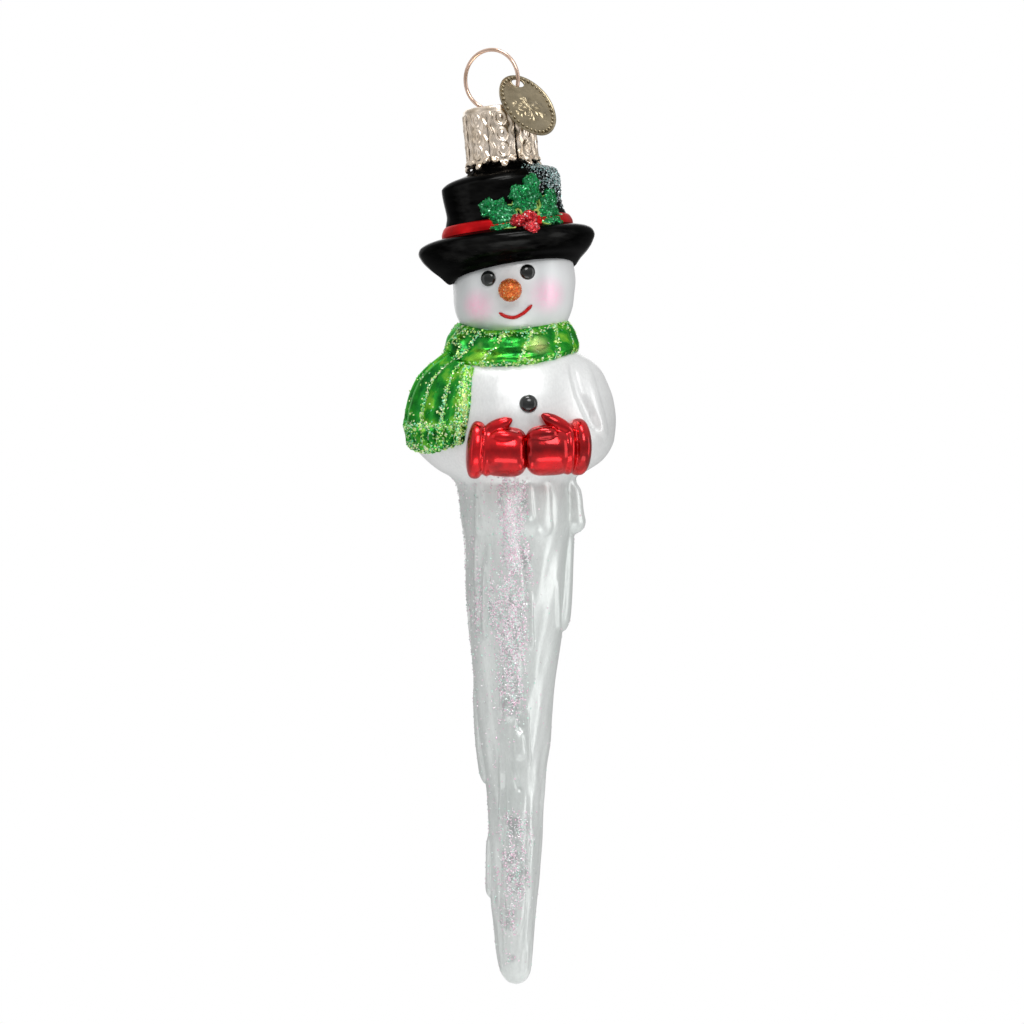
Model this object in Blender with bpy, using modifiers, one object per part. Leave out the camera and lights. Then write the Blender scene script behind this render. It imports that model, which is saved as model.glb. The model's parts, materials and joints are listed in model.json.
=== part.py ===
"""Snowman icicle hanging ornament: a blown-glass figure under a stamped crown cap and a spring-wire hanger.

The frame is +Z up and the figure faces -Y. The origin is the hang point: the inside of the wire loop at its
highest place, where a hook or thread holds the ornament. Lengths are written in millimetres and multiplied
by MM where they reach Blender.
"""
import bmesh
import bpy
from math import cos, pi, radians, sin
from mathutils import Matrix, Vector

MM = 0.001
GAP = 0.3                     # air kept between two separate solids
WALL = 1.1                    # glass wall
WELD = 0.003                  # hair-thin edges shorter than this are closed after a Boolean
CURVE_WELD = 0.01             # the same for a mesh made from a curve
CUT_OVER = 3.0                # how far a cutter passes what it cuts
FRONT = -25.0                 # a depth in front of every form
FACET_TWIST = radians(4.0)    # turns one round form's facets off those of the form it meets
SHARP_EDGE = radians(40.0)    # edges sharper than this are shaded sharp

# The hat, head, neck and cap lean together; the icicle below them hangs plumb.
LEAN = radians(7.0)
CAP_TOP = Vector((1.1, 0.0, -9.3))
BRIM_CENTRE = Vector((2.6, 0.0, -32.4))

# Crown cap
CAP_RADIUS = 6.0
CAP_HEIGHT = 9.1
CAP_SHEET = 0.35
CAP_CORNER = 0.7
CAP_CORNER_EASE = 0.3         # the share of the corner at which its middle ring lies
CAP_TABS = 8
CAP_FIRST_SLIT = radians(-20.0)
SLIT_WIDTH = 0.35
SLIT_TOP = 1.9                # the slits stop this far below the cap's top
SCALLOPS_PER_TAB = 3
SCALLOP_DEPTH = 0.8
POINTS_PER_SCALLOP = 4
SLOT_SIZE = Vector((1.7, 1.4, 3.0))   # a slot for one of the hanger's legs
SLOT_SHIFT = 0.1              # how far a slot's middle lies outside its leg

# Neck of the glass, inside the cap
NECK_RADIUS = 5.0
NECK_BORE = 3.95
NECK_FOOT = 12.5              # depth below the cap's top at which the neck runs into the hat
FLARE_REACH = 2.0             # how far the neck's flare stands out at its foot
FLARE_INSET = 0.4             # how far the flare's top lies inside the neck
FLARE_SINK = 0.5              # how far the flare's foot passes the neck's
FLARE_TOP = -9.6

# Wire hanger
WIRE_RADIUS = 0.33
LOOP_RADIUS = 4.95            # to the wire's centre
HANGER_LEAN = radians(10.0)
HANGER_TURN = radians(-28.0)
LEG_SPREAD = 2.75             # half the distance between the legs where they pass the cap
LEG_TIP_SPREAD = 3.2
LEG_LENGTH = 15.0
LEG_SHOULDER = (0.03, 0.35)   # where a leg leaves the loop: out from the leg's line, above the cap
LEG_KNEE = -0.5               # below this height the leg spreads
LOOP_STEPS = 26
LOOP_OPENING = radians(36.0)  # half the loop's gap, where it runs into the legs

# Hang tag
TAG_LENGTH = 14.8
TAG_WIDTH = 9.2
TAG_SHEET = 0.3
TAG_HOLE_RADIUS = 1.1
TAG_HOLE_INSET = 1.9          # from the tag's upper end
TAG_HANG = radians(44.0)      # angle between the hanging tag and the vertical
TAG_HEADING = radians(24.8)   # how far the tag's low end points to the right of the front
TAG_LOOP_ANGLE = radians(-19.0)
TAG_STEPS = 32

# Hat and head, in the leaning frame centred on the brim: (height, sideways shift, radius)
HAT_RINGS = (
    (-4.3, 0.1, 9.5),
    (-3.4, 0.1, 11.9),
    (-2.2, 0.0, 13.4),
    (-0.6, 0.0, 14.4),
    (1.0, 0.0, 14.6),
    (2.1, 0.1, 13.0),
    (2.8, 0.2, 11.0),
    (6.5, 0.3, 10.1),
    (10.6, 0.6, 9.4),
    (11.5, 0.6, 8.9),
    (11.9, 0.6, 7.8),
)
HEAD_CENTRE = Vector((0.2, 0.0, -7.3))
HEAD_RADII = Vector((10.35, 9.9, 11.0))

# Scarf, torso and mittens
SCARF_CENTRE = Vector((3.1, 0.0, -48.4))
SCARF_RADII = Vector((11.3, 10.7, 4.9))
SCARF_LEAN = radians(3.5)
MITTENS = (
    (Vector((0.9, -11.5, -66.5)), Vector((5.2, 5.2, 4.9))),
    (Vector((10.6, -11.3, -65.8)), Vector((5.3, 5.2, 5.1))),
)
TAIL_OUTLINE = ((-8.4, -50.2), (-3.2, -53.4), (-3.2, -61.4), (-4.6, -65.0), (-11.0, -66.8),
                (-13.6, -65.2), (-14.3, -58.8))
TAIL_THICKNESS = 1.3

# Torso and icicle, from the top down: (height, centre's x, half width, half depth)
BODY_RINGS = (
    (-47.5, 3.6, 9.6, 9.0),
    (-51.4, 3.7, 12.8, 10.8),
    (-54.7, 3.5, 15.6, 12.6),
    (-58.1, 3.3, 17.0, 13.6),
    (-61.4, 3.2, 17.5, 14.0),
    (-64.7, 3.2, 17.2, 13.9),
    (-68.0, 3.6, 14.9, 13.0),
    (-70.4, 4.1, 11.6, 11.4),
    (-72.6, 4.7, 10.2, 10.4),
    (-78.0, 5.0, 10.2, 10.0),
    (-81.0, 4.6, 9.2, 9.3),
    (-86.0, 4.4, 8.8, 8.9),
    (-95.5, 4.6, 8.6, 8.6),
    (-98.5, 4.0, 7.5, 7.7),
    (-108.0, 3.7, 6.5, 6.7),
    (-118.0, 3.5, 5.8, 6.0),
    (-123.5, 3.8, 4.9, 5.1),
    (-138.5, 3.4, 4.5, 4.6),
    (-142.5, 3.6, 3.8, 4.0),
    (-151.0, 3.9, 2.8, 2.9),
    (-154.6, 4.1, 1.7, 1.8),
    (-155.4, 4.1, 0.7, 0.7),
)
CAVITY_FLOOR = -148.0
CAVITY_SHOULDER = -50.0       # the body's hollow begins below this height
BORE_FLOOR = -24.0            # the neck's bore, in the cap's frame
BORE_TOP = 2.0
# The hollow in the hat: lower radius, upper radius, lowest and highest level in the leaning frame
INNER_HAT = (9.2, 8.0, -2.4, 10.4)
# The hollow between head and torso: radius, lowest and highest level, centre's x
THROAT = (8.0, -52.5, -44.0, 3.6)

# Raised decorations
EYES = {"left_eye": (-3.9, -5.4), "right_eye": (2.7, -5.3)}
EYE_RADIUS = 1.3
NOSE_CENTRE = (-0.5, -7.8)
NOSE_RADIUS = 1.9
NOSE_RISE = 0.7               # how far the nose ball's middle stands out of the head
DROP_RISE = 0.1               # the same for the eyes and the button
MOUTH_POINTS = ((-2.8, -11.3), (-1.7, -12.0), (-0.4, -12.3), (1.0, -11.9), (2.7, -10.8))
MOUTH_RADIUS = 0.3
MOUTH_RISE = 0.15             # air under the mouth's line beyond the gap
BUTTON_CENTRE = (6.2, -58.7)
BUTTON_RADIUS = 1.5
BERRIES = {"holly_berry_left": (2.2, 4.0), "holly_berry_right": (4.5, 4.3), "holly_berry_low": (4.0, 2.1)}
BERRY_RADIUS = 0.9
BERRY_BAND = (0.3, 10.8)      # the crown under the berries: its centre across and its radius
# Each leaf: its centre across and up, its length and width, and the heading of its tip
LEAVES = {
    "holly_leaf_left": (-1.2, 5.2, 6.6, 4.0, radians(155.0)),
    "holly_leaf_top": (4.2, 8.1, 4.4, 3.6, radians(85.0)),
    "holly_leaf_right": (7.4, 5.4, 4.6, 3.8, radians(60.0)),
}
LEAF_STEPS = 8
LEAF_BLUNTNESS = 0.8
LEAF_BACK = -2.0              # leaves lie on the crown in front of this depth
FROST_OUTLINE = ((6.4, 8.9), (9.0, 8.0), (12.0, 9.0), (12.0, 13.5), (8.9, 13.5), (8.6, 10.8))
FROST_BACK = 3.0
GLITTER_DEPTH = 0.5           # how far the glitter stands off its own underside
BEAD_RADIUS = 0.4             # a bead of glitter on the scarf
SCARF_RIDGES = (radians(-38.0), radians(-14.0), radians(12.0), radians(44.0))
SCARF_RIDGE_REACH = radians(24.0)     # how far a bead runs above and below the wrap's middle
SCARF_RIDGE_SWING = radians(10.0)     # how far it slants round the neck on the way
TAIL_RIDGES = (((-8.6, -53.0), (-12.9, -63.8)), ((-6.9, -54.0), (-9.6, -65.0)),
               ((-4.4, -55.0), (-5.2, -63.4)))
TAIL_RIDGE_RISE = 0.15
RIDGE_STEPS = 8
FRONT_HALF = -1.0             # the tail and the streaks lie in front of this depth
UPPER_STREAK = ((-0.6, -73.0), (4.6, -73.0), (6.0, -82.0), (5.4, -95.0), (5.0, -108.0), (1.2, -108.0),
                (-0.2, -90.0))
LOWER_STREAK = ((1.4, -108.6), (4.8, -108.6), (5.0, -122.0), (4.6, -140.0), (3.4, -151.0), (2.4, -140.0),
                (1.6, -122.0))


def remove_everything():
    """Clear the scene's own objects."""
    for item in list(bpy.data.objects):
        bpy.data.objects.remove(item, do_unlink=True)


def collection(name):
    """Return a new collection linked to the scene."""
    group = bpy.data.collections.new(name)
    bpy.context.scene.collection.children.link(group)
    return group


remove_everything()
PARTS = collection("snowman_icicle_ornament")
CUTTERS = collection("cutters")


def lean_frame(centre, lean=LEAN):
    """The frame of a piece that leans to the left about centre."""
    return Matrix.Translation(centre * MM) @ Matrix.Rotation(-lean, 4, "Y")


HEAD_FRAME = lean_frame(BRIM_CENTRE)
CAP_FRAME = lean_frame(CAP_TOP)


def material(name, color, roughness, metallic):
    """A Principled material."""
    made = bpy.data.materials.new(name)
    made.use_nodes = True
    shader = made.node_tree.nodes["Principled BSDF"]
    shader.inputs["Base Color"].default_value = (*color, 1.0)
    shader.inputs["Roughness"].default_value = roughness
    shader.inputs["Metallic"].default_value = metallic
    return made


def link(mesh, name, group=PARTS):
    """Make an object of a mesh."""
    made = bpy.data.objects.new(name, mesh)
    group.objects.link(made)
    if group is CUTTERS:
        made.hide_render = True
        made.display_type = "WIRE"
    return made


def from_bmesh(bm, name, group=CUTTERS):
    """Make an object of a bmesh, with its faces pointing out."""
    bmesh.ops.recalc_face_normals(bm, faces=bm.faces)
    mesh = bpy.data.meshes.new(name)
    bm.to_mesh(mesh)
    bm.free()
    return link(mesh, name, group)


def evaluated_mesh(source, name):
    """The mesh that an object's modifiers or curve settings make, in world space."""
    bpy.context.view_layer.update()
    depsgraph = bpy.context.evaluated_depsgraph_get()
    mesh = bpy.data.meshes.new_from_object(source.evaluated_get(depsgraph), depsgraph=depsgraph)
    mesh.name = name
    mesh.transform(source.matrix_world)
    return mesh


def weld(mesh):
    """Close the hair-thin edges that a Boolean can leave."""
    bm = bmesh.new()
    bm.from_mesh(mesh)
    bmesh.ops.remove_doubles(bm, verts=bm.verts, dist=WELD * MM)
    bmesh.ops.dissolve_degenerate(bm, edges=bm.edges, dist=WELD * MM)
    bm.to_mesh(mesh)
    bm.free()


def ellipsoid(name, centre, radii, frame=Matrix(), segments=24, rings=14, twist=0.0):
    """A closed ellipsoid from a UV sphere, whose facets are turned by twist about its own Z."""
    bm = bmesh.new()
    bmesh.ops.create_uvsphere(bm, u_segments=segments, v_segments=rings, radius=1.0)
    shape = Matrix.Diagonal((*(radii * MM), 1.0)) @ Matrix.Rotation(twist, 4, "Z")
    bmesh.ops.transform(bm, matrix=frame @ Matrix.Translation(centre * MM) @ shape, verts=bm.verts)
    return from_bmesh(bm, name)


def cylinder(name, radius, low, high, frame=Matrix(), segments=32, top_radius=None):
    """A closed cylinder or cone along the frame's Z, from low to high."""
    bm = bmesh.new()
    wide = radius if top_radius is None else top_radius
    bmesh.ops.create_cone(bm, cap_ends=True, segments=segments, radius1=radius * MM, radius2=wide * MM,
                          depth=(high - low) * MM)
    middle = Vector((0.0, 0.0, (low + high) / 2.0))
    bmesh.ops.transform(bm, matrix=frame @ Matrix.Translation(middle * MM), verts=bm.verts)
    return from_bmesh(bm, name)


def box(name, centre, size, frame=Matrix()):
    """A closed box."""
    bm = bmesh.new()
    bmesh.ops.create_cube(bm, size=1.0)
    shape = Matrix.Diagonal((*(size * MM), 1.0))
    bmesh.ops.transform(bm, matrix=frame @ Matrix.Translation(centre * MM) @ shape, verts=bm.verts)
    return from_bmesh(bm, name)


def loft(name, rings, frame=Matrix(), grow=0.0, sides=32):
    """A closed loft through level elliptical rings (height, centre x, half width, half depth)."""
    bm = bmesh.new()
    loops = []
    for height, shift, half_width, half_depth in rings:
        loop = []
        for step in range(sides):
            turn = 2.0 * pi * step / sides
            across = shift + (half_width + grow) * cos(turn)
            deep = (half_depth + grow) * sin(turn)
            loop.append(bm.verts.new(frame @ (Vector((across, deep, height)) * MM)))
        loops.append(loop)
    for upper, lower in zip(loops, loops[1:]):
        for step in range(sides):
            after = (step + 1) % sides
            bm.faces.new((upper[step], upper[after], lower[after], lower[step]))
    bm.faces.new(loops[0])
    bm.faces.new(loops[-1])
    return from_bmesh(bm, name)


def prism(name, outline, near, far, frame=Matrix()):
    """An outline in the frame's XZ plane, extruded along Y from near to far."""
    curve = bpy.data.curves.new(name, "CURVE")
    curve.dimensions = "2D"
    curve.fill_mode = "BOTH"
    curve.extrude = (far - near) * MM / 2.0
    spline = curve.splines.new("POLY")
    spline.points.add(len(outline) - 1)
    for point, (across, up) in zip(spline.points, outline):
        point.co = (across * MM, up * MM, 0.0, 1.0)
    spline.use_cyclic_u = True
    drawn = link(curve, name + "_curve", CUTTERS)
    stand = Matrix.Rotation(pi / 2.0, 4, "X")
    drawn.matrix_world = frame @ Matrix.Translation(Vector((0.0, (near + far) / 2.0, 0.0)) * MM) @ stand
    return closed_copy(drawn, name)


def wire(name, points, radius, sides=2):
    """A round wire through points, its ends closed."""
    curve = bpy.data.curves.new(name, "CURVE")
    curve.dimensions = "3D"
    curve.bevel_depth = radius * MM
    curve.bevel_resolution = sides
    curve.use_fill_caps = True
    spline = curve.splines.new("POLY")
    spline.points.add(len(points) - 1)
    for point, place in zip(spline.points, points):
        point.co = (*(place * MM), 1.0)
    return closed_copy(link(curve, name + "_curve", CUTTERS), name)


def closed_copy(drawn, name):
    """Turn a curve object into a welded mesh object and drop the curve."""
    mesh = evaluated_mesh(drawn, name)
    bm = bmesh.new()
    bm.from_mesh(mesh)
    bmesh.ops.remove_doubles(bm, verts=bm.verts, dist=CURVE_WELD * MM)
    bpy.data.objects.remove(drawn, do_unlink=True)
    return from_bmesh(bm, name)


def combine(base, operation, *others):
    """Apply Boolean modifiers to base, and return it."""
    for other in others:
        modifier = base.modifiers.new(other.name, "BOOLEAN")
        modifier.operation = operation
        modifier.solver = "EXACT"
        modifier.object = other
    mesh = evaluated_mesh(base, base.name)
    base.modifiers.clear()
    base.data = mesh
    weld(mesh)
    for other in others:
        bpy.data.objects.remove(other, do_unlink=True)
    return base


def finished(piece, name, paint):
    """Move a finished solid to the parts, named, painted and shaded."""
    CUTTERS.objects.unlink(piece)
    PARTS.objects.link(piece)
    piece.name = name
    piece.hide_render = False
    piece.display_type = "TEXTURED"
    piece.data.materials.clear()
    piece.data.materials.append(paint)
    piece.data.shade_smooth()
    piece.data.set_sharp_from_angle(angle=SHARP_EDGE)
    return piece


# The glass figure's outer forms, each of which can be grown to leave a gap or a layer over it.

def hat_form(name, grow=0.0):
    """Crown and brim of the top hat, in the leaning head frame."""
    rings = [(height, shift, radius, radius) for height, shift, radius in HAT_RINGS]
    return loft(name, rings, HEAD_FRAME, grow)


def head_form(name, grow=0.0):
    """The round head."""
    return ellipsoid(name, HEAD_CENTRE, HEAD_RADII + Vector((grow, grow, grow)), HEAD_FRAME, 32, 18)


def body_form(name, grow=0.0):
    """Torso and icicle in one."""
    return loft(name, BODY_RINGS, Matrix(), grow, 36)


def scarf_form(name, grow=0.0):
    """The scarf's wrap round the neck."""
    radii = SCARF_RADII + Vector((grow, grow, grow))
    return ellipsoid(name, Vector(), radii, lean_frame(SCARF_CENTRE, SCARF_LEAN), 32, 14, FACET_TWIST)


def scarf_tail():
    """The scarf's hanging tail: a layer over the torso inside the tail's outline."""
    tail = body_form("scarf_tail", TAIL_THICKNESS)
    return combine(tail, "INTERSECT", prism("tail_outline", TAIL_OUTLINE, FRONT, FRONT_HALF))


def neck_form():
    """The open neck under the cap, flared where it meets the hat."""
    top = -(CAP_SHEET + GAP)
    neck = cylinder("neck", NECK_RADIUS, -NECK_FOOT, top, CAP_FRAME)
    twisted = CAP_FRAME @ Matrix.Rotation(FACET_TWIST, 4, "Z")
    flare = cylinder("flare", NECK_RADIUS + FLARE_REACH, -NECK_FOOT - FLARE_SINK, FLARE_TOP, twisted,
                     top_radius=NECK_RADIUS - FLARE_INSET)
    return combine(neck, "UNION", flare)


def cavity():
    """The hollow inside the glass, open upwards through the neck's bore."""
    hollow = cylinder("hollow", NECK_BORE, BORE_FLOOR, BORE_TOP, CAP_FRAME)
    hat_foot, hat_top, hat_low, hat_high = INNER_HAT
    inner_hat = cylinder("inner_hat", hat_foot, hat_low, hat_high, HEAD_FRAME, 28, hat_top)
    inner_head = ellipsoid("inner_head", HEAD_CENTRE, HEAD_RADII - Vector((WALL, WALL, WALL)), HEAD_FRAME)
    throat_radius, throat_low, throat_high, throat_x = THROAT
    plumb = Matrix.Translation(Vector((throat_x, 0.0, 0.0)) * MM)
    throat = cylinder("throat", throat_radius, throat_low, throat_high, plumb)
    rings = [ring for ring in BODY_RINGS if CAVITY_FLOOR < ring[0] < CAVITY_SHOULDER]
    inner_body = loft("inner_body", rings, Matrix(), -WALL, 24)
    return combine(hollow, "UNION", inner_hat, inner_head, throat, inner_body)


def glass_figure():
    """The one-piece blown shell: hat, head, scarf, torso, mittens and icicle."""
    mittens = [ellipsoid("mitten", centre, radii) for centre, radii in MITTENS]
    shell = combine(body_form("shell"), "UNION", hat_form("hat"), head_form("head"), scarf_form("scarf"),
                    neck_form(), scarf_tail(), *mittens)
    return combine(shell, "DIFFERENCE", cavity())


def cap_shell():
    """The cap's thin sheet: a flat top, a rounded shoulder and a skirt with a scalloped lower edge."""
    sides = CAP_TABS * SCALLOPS_PER_TAB * POINTS_PER_SCALLOP
    eased = CAP_CORNER * CAP_CORNER_EASE
    profile = [(CAP_RADIUS - CAP_CORNER, 0.0), (CAP_RADIUS - eased, -eased),
               (CAP_RADIUS, -CAP_CORNER), (CAP_RADIUS, -CAP_HEIGHT / 2.0), (CAP_RADIUS, -CAP_HEIGHT)]
    bm = bmesh.new()
    bmesh.ops.create_circle(bm, cap_ends=True, cap_tris=True, segments=sides,
                            radius=(CAP_RADIUS - CAP_CORNER) * MM)
    edge = sorted((v for v in bm.verts if v.co.length > MM), key=lambda v: v.co.to_2d().angle_signed((1, 0)))
    rings = [edge]
    for radius, height in profile[1:]:
        ring = []
        for step, above in enumerate(edge):
            outward = above.co.to_2d().normalized() * radius
            lowest = height == -CAP_HEIGHT
            scallop = SCALLOP_DEPTH * abs(sin(2.0 * pi * (step / sides) * CAP_TABS * SCALLOPS_PER_TAB / 2.0))
            down = height - (scallop if lowest else 0.0)
            ring.append(bm.verts.new(Vector((outward.x, outward.y, down)) * MM))
        rings.append(ring)
    for upper, lower in zip(rings, rings[1:]):
        for step in range(sides):
            after = (step + 1) % sides
            bm.faces.new((upper[step], upper[after], lower[after], lower[step]))
    turn = Matrix.Rotation(CAP_FIRST_SLIT - pi / 2.0, 4, "Z")
    bmesh.ops.transform(bm, matrix=CAP_FRAME @ turn, verts=bm.verts)
    sheet = from_bmesh(bm, "cap_sheet")
    thickness = sheet.modifiers.new("sheet", "SOLIDIFY")
    thickness.thickness = CAP_SHEET * MM
    thickness.offset = -1.0
    sheet.data = evaluated_mesh(sheet, "cap_sheet")
    sheet.modifiers.clear()
    return sheet


def crown_cap():
    """The stamped cap with its eight tabs and the two slots that the hanger's legs pass."""
    cuts = []
    for pair in range(CAP_TABS // 2):
        turn = Matrix.Rotation(CAP_FIRST_SLIT + pair * 2.0 * pi / CAP_TABS, 4, "Z")
        middle = Vector((0.0, 0.0, -(SLIT_TOP + CAP_HEIGHT + CUT_OVER) / 2.0))
        size = Vector((SLIT_WIDTH, 2.0 * (CAP_RADIUS + CUT_OVER), CAP_HEIGHT + CUT_OVER - SLIT_TOP))
        cuts.append(box("slit", middle, size, CAP_FRAME @ turn))
    for side in (-1.0, 1.0):
        slot = Vector((side * (LEG_SPREAD + SLOT_SHIFT), 0.0, 0.0))
        cuts.append(box("slot", slot, SLOT_SIZE, CAP_FRAME @ Matrix.Rotation(HANGER_TURN, 4, "Z")))
    return combine(cap_shell(), "DIFFERENCE", *cuts)


def hanger_frame():
    """The frame of the wire's loop: Z along its own axis, the loop in XZ, its centre at the origin."""
    centre = Vector((0.0, 0.0, WIRE_RADIUS - LOOP_RADIUS))
    turn = Matrix.Rotation(-HANGER_LEAN, 4, "Y") @ Matrix.Rotation(HANGER_TURN, 4, "Z")
    return Matrix.Translation(centre * MM) @ turn


def leg_points(side):
    """One leg, from the cap's top down into the neck, in millimetres."""
    turned = CAP_FRAME @ Matrix.Rotation(HANGER_TURN, 4, "Z")
    shoulder_out, shoulder_height = LEG_SHOULDER
    spots = ((LEG_SPREAD + shoulder_out, shoulder_height), (LEG_SPREAD, LEG_KNEE),
             (LEG_TIP_SPREAD, -LEG_LENGTH))
    return [turned @ (Vector((side * out, 0.0, up)) * MM) / MM for out, up in spots]


def hanger_wire():
    """One wire: a round loop whose two ends turn down through the cap and spread inside the neck."""
    loop = []
    for step in range(LOOP_STEPS + 1):
        turn = -pi / 2.0 - LOOP_OPENING - step * (2.0 * pi - 2.0 * LOOP_OPENING) / LOOP_STEPS
        loop.append(hanger_frame() @ (Vector((cos(turn), 0.0, sin(turn))) * LOOP_RADIUS * MM) / MM)
    return wire("hanger_wire", leg_points(-1.0)[::-1] + loop + leg_points(1.0), WIRE_RADIUS)


def tag_hinge():
    """The place on the loop where the tag's hole hangs."""
    out = Vector((cos(TAG_LOOP_ANGLE), 0.0, sin(TAG_LOOP_ANGLE))) * LOOP_RADIUS
    return hanger_frame() @ (out * MM) / MM


def tag_frame():
    """The tag's frame: origin at its hole, X across it, Z towards its upper end."""
    heading = Vector((sin(TAG_HEADING), -cos(TAG_HEADING), 0.0))
    down = heading * sin(TAG_HANG) - Vector((0.0, 0.0, 1.0)) * cos(TAG_HANG)
    across = Vector((cos(TAG_HEADING), sin(TAG_HEADING), 0.0))
    normal = across.cross(down)
    axes = Matrix((across, normal, -down)).transposed().to_4x4()
    return Matrix.Translation(tag_hinge() * MM) @ axes


def hang_tag():
    """The oval stamped tag, threaded on the loop by its hole."""
    half = TAG_LENGTH / 2.0
    outline = []
    for step in range(TAG_STEPS):
        turn = 2.0 * pi * step / TAG_STEPS
        outline.append((TAG_WIDTH / 2.0 * cos(turn), TAG_HOLE_INSET - half + half * sin(turn)))
    plate = prism("tag", outline, -TAG_SHEET / 2.0, TAG_SHEET / 2.0, tag_frame())
    across = tag_frame() @ Matrix.Rotation(pi / 2.0, 4, "X")
    return combine(plate, "DIFFERENCE", cylinder("hole", TAG_HOLE_RADIUS, -CUT_OVER, CUT_OVER, across, 16))


def dome(name, frame, centre, radius, depth, *under):
    """A drop of enamel standing on the glass: a ball cut back by the glass's own forms, grown by the gap."""
    middle = frame @ (Vector((centre[0], depth, centre[1])) * MM) / MM
    ball = ellipsoid(name, middle, Vector((radius, radius, radius)), Matrix(), 16, 10)
    return combine(ball, "DIFFERENCE", *under)


def front_of_head(across, up):
    """The depth of the head's front surface at a place in the head frame."""
    inside = 1.0 - ((across - HEAD_CENTRE.x) / HEAD_RADII.x) ** 2 - ((up - HEAD_CENTRE.z) / HEAD_RADII.z) ** 2
    return -HEAD_RADII.y * inside ** 0.5


def mouth():
    """The thin line of the smile."""
    points = []
    for across, up in MOUTH_POINTS:
        deep = front_of_head(across, up) - GAP - MOUTH_RADIUS - MOUTH_RISE
        points.append(HEAD_FRAME @ (Vector((across, deep, up)) * MM) / MM)
    return wire("mouth", points, MOUTH_RADIUS)


def holly_leaf(name, across, up, length, width, heading):
    """A pointed leaf of glitter lying on the hat's crown."""
    outline = []
    for side in (1.0, -1.0):
        for step in range(LEAF_STEPS):
            along = step / LEAF_STEPS
            place = Vector((length * (0.5 - along), width / 2.0 * sin(pi * along) ** LEAF_BLUNTNESS))
            if side < 0.0:
                place = -place
            outline.append((across + place.x * cos(heading) - place.y * sin(heading),
                            up + place.x * sin(heading) + place.y * cos(heading)))
    leaf = hat_form(name, GAP + GLITTER_DEPTH)
    leaf = combine(leaf, "INTERSECT", prism("leaf_outline", outline, FRONT, LEAF_BACK, HEAD_FRAME))
    return combine(leaf, "DIFFERENCE", hat_form("under_leaf", GAP))


def hat_frost():
    """The frosted patch on the crown's right side."""
    patch = hat_form("hat_frost", GAP + GLITTER_DEPTH)
    patch = combine(patch, "INTERSECT", prism("frost_outline", FROST_OUTLINE, FRONT, FROST_BACK, HEAD_FRAME))
    return combine(patch, "DIFFERENCE", hat_form("under_frost", GAP))


def body_half_depth(height):
    """The torso and icicle's centre, half width and half depth at a height."""
    for upper, lower in zip(BODY_RINGS, BODY_RINGS[1:]):
        if lower[0] <= height <= upper[0]:
            part = (upper[0] - height) / (upper[0] - lower[0])
            return [a + (b - a) * part for a, b in zip(upper[1:], lower[1:])]
    return list(BODY_RINGS[-1][1:])


def body_front(across, height):
    """The depth of the body's front surface."""
    centre, half_width, half_depth = body_half_depth(height)
    inside = max(0.0, 1.0 - ((across - centre) / half_width) ** 2)
    return -half_depth * inside ** 0.5


def streak(name, outline):
    """A glitter streak: a thin layer over the icicle inside an outline."""
    layer = body_form(name, GAP + GLITTER_DEPTH)
    layer = combine(layer, "INTERSECT", prism("streak_outline", outline, FRONT, FRONT_HALF))
    return combine(layer, "DIFFERENCE", body_form("under_streak", GAP))


def scarf_ridge(name, turn):
    """A bead of glitter over the scarf's wrap, running down it at one place round the neck."""
    frame = lean_frame(SCARF_CENTRE, SCARF_LEAN)
    stand_off = GAP + GLITTER_DEPTH
    points = []
    for step in range(RIDGE_STEPS + 1):
        part = step / RIDGE_STEPS - 0.5
        tip = SCARF_RIDGE_REACH * 2.0 * part
        radii = SCARF_RADII + Vector((stand_off, stand_off, stand_off))
        swing = turn + SCARF_RIDGE_SWING * part
        spot = Vector((radii.x * cos(tip) * sin(swing), -radii.y * cos(tip) * cos(swing), radii.z * sin(tip)))
        points.append(frame @ (spot * MM) / MM)
    bead = wire(name, points, BEAD_RADIUS)
    return combine(bead, "DIFFERENCE", body_form("under", GAP), head_form("over", GAP))


def tail_ridge(name, top, foot):
    """A bead of glitter down one fold of the scarf's tail."""
    points = []
    for step in range(RIDGE_STEPS + 1):
        across = top[0] + (foot[0] - top[0]) * step / RIDGE_STEPS
        height = top[1] + (foot[1] - top[1]) * step / RIDGE_STEPS
        centre, half_width, half_depth = body_half_depth(height)
        grow = TAIL_THICKNESS + GAP + GLITTER_DEPTH
        inside = max(0.0, 1.0 - ((across - centre) / (half_width + grow)) ** 2)
        points.append(Vector((across, -(half_depth + grow) * inside ** 0.5 - TAIL_RIDGE_RISE, height)))
    return wire(name, points, BEAD_RADIUS)


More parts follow.
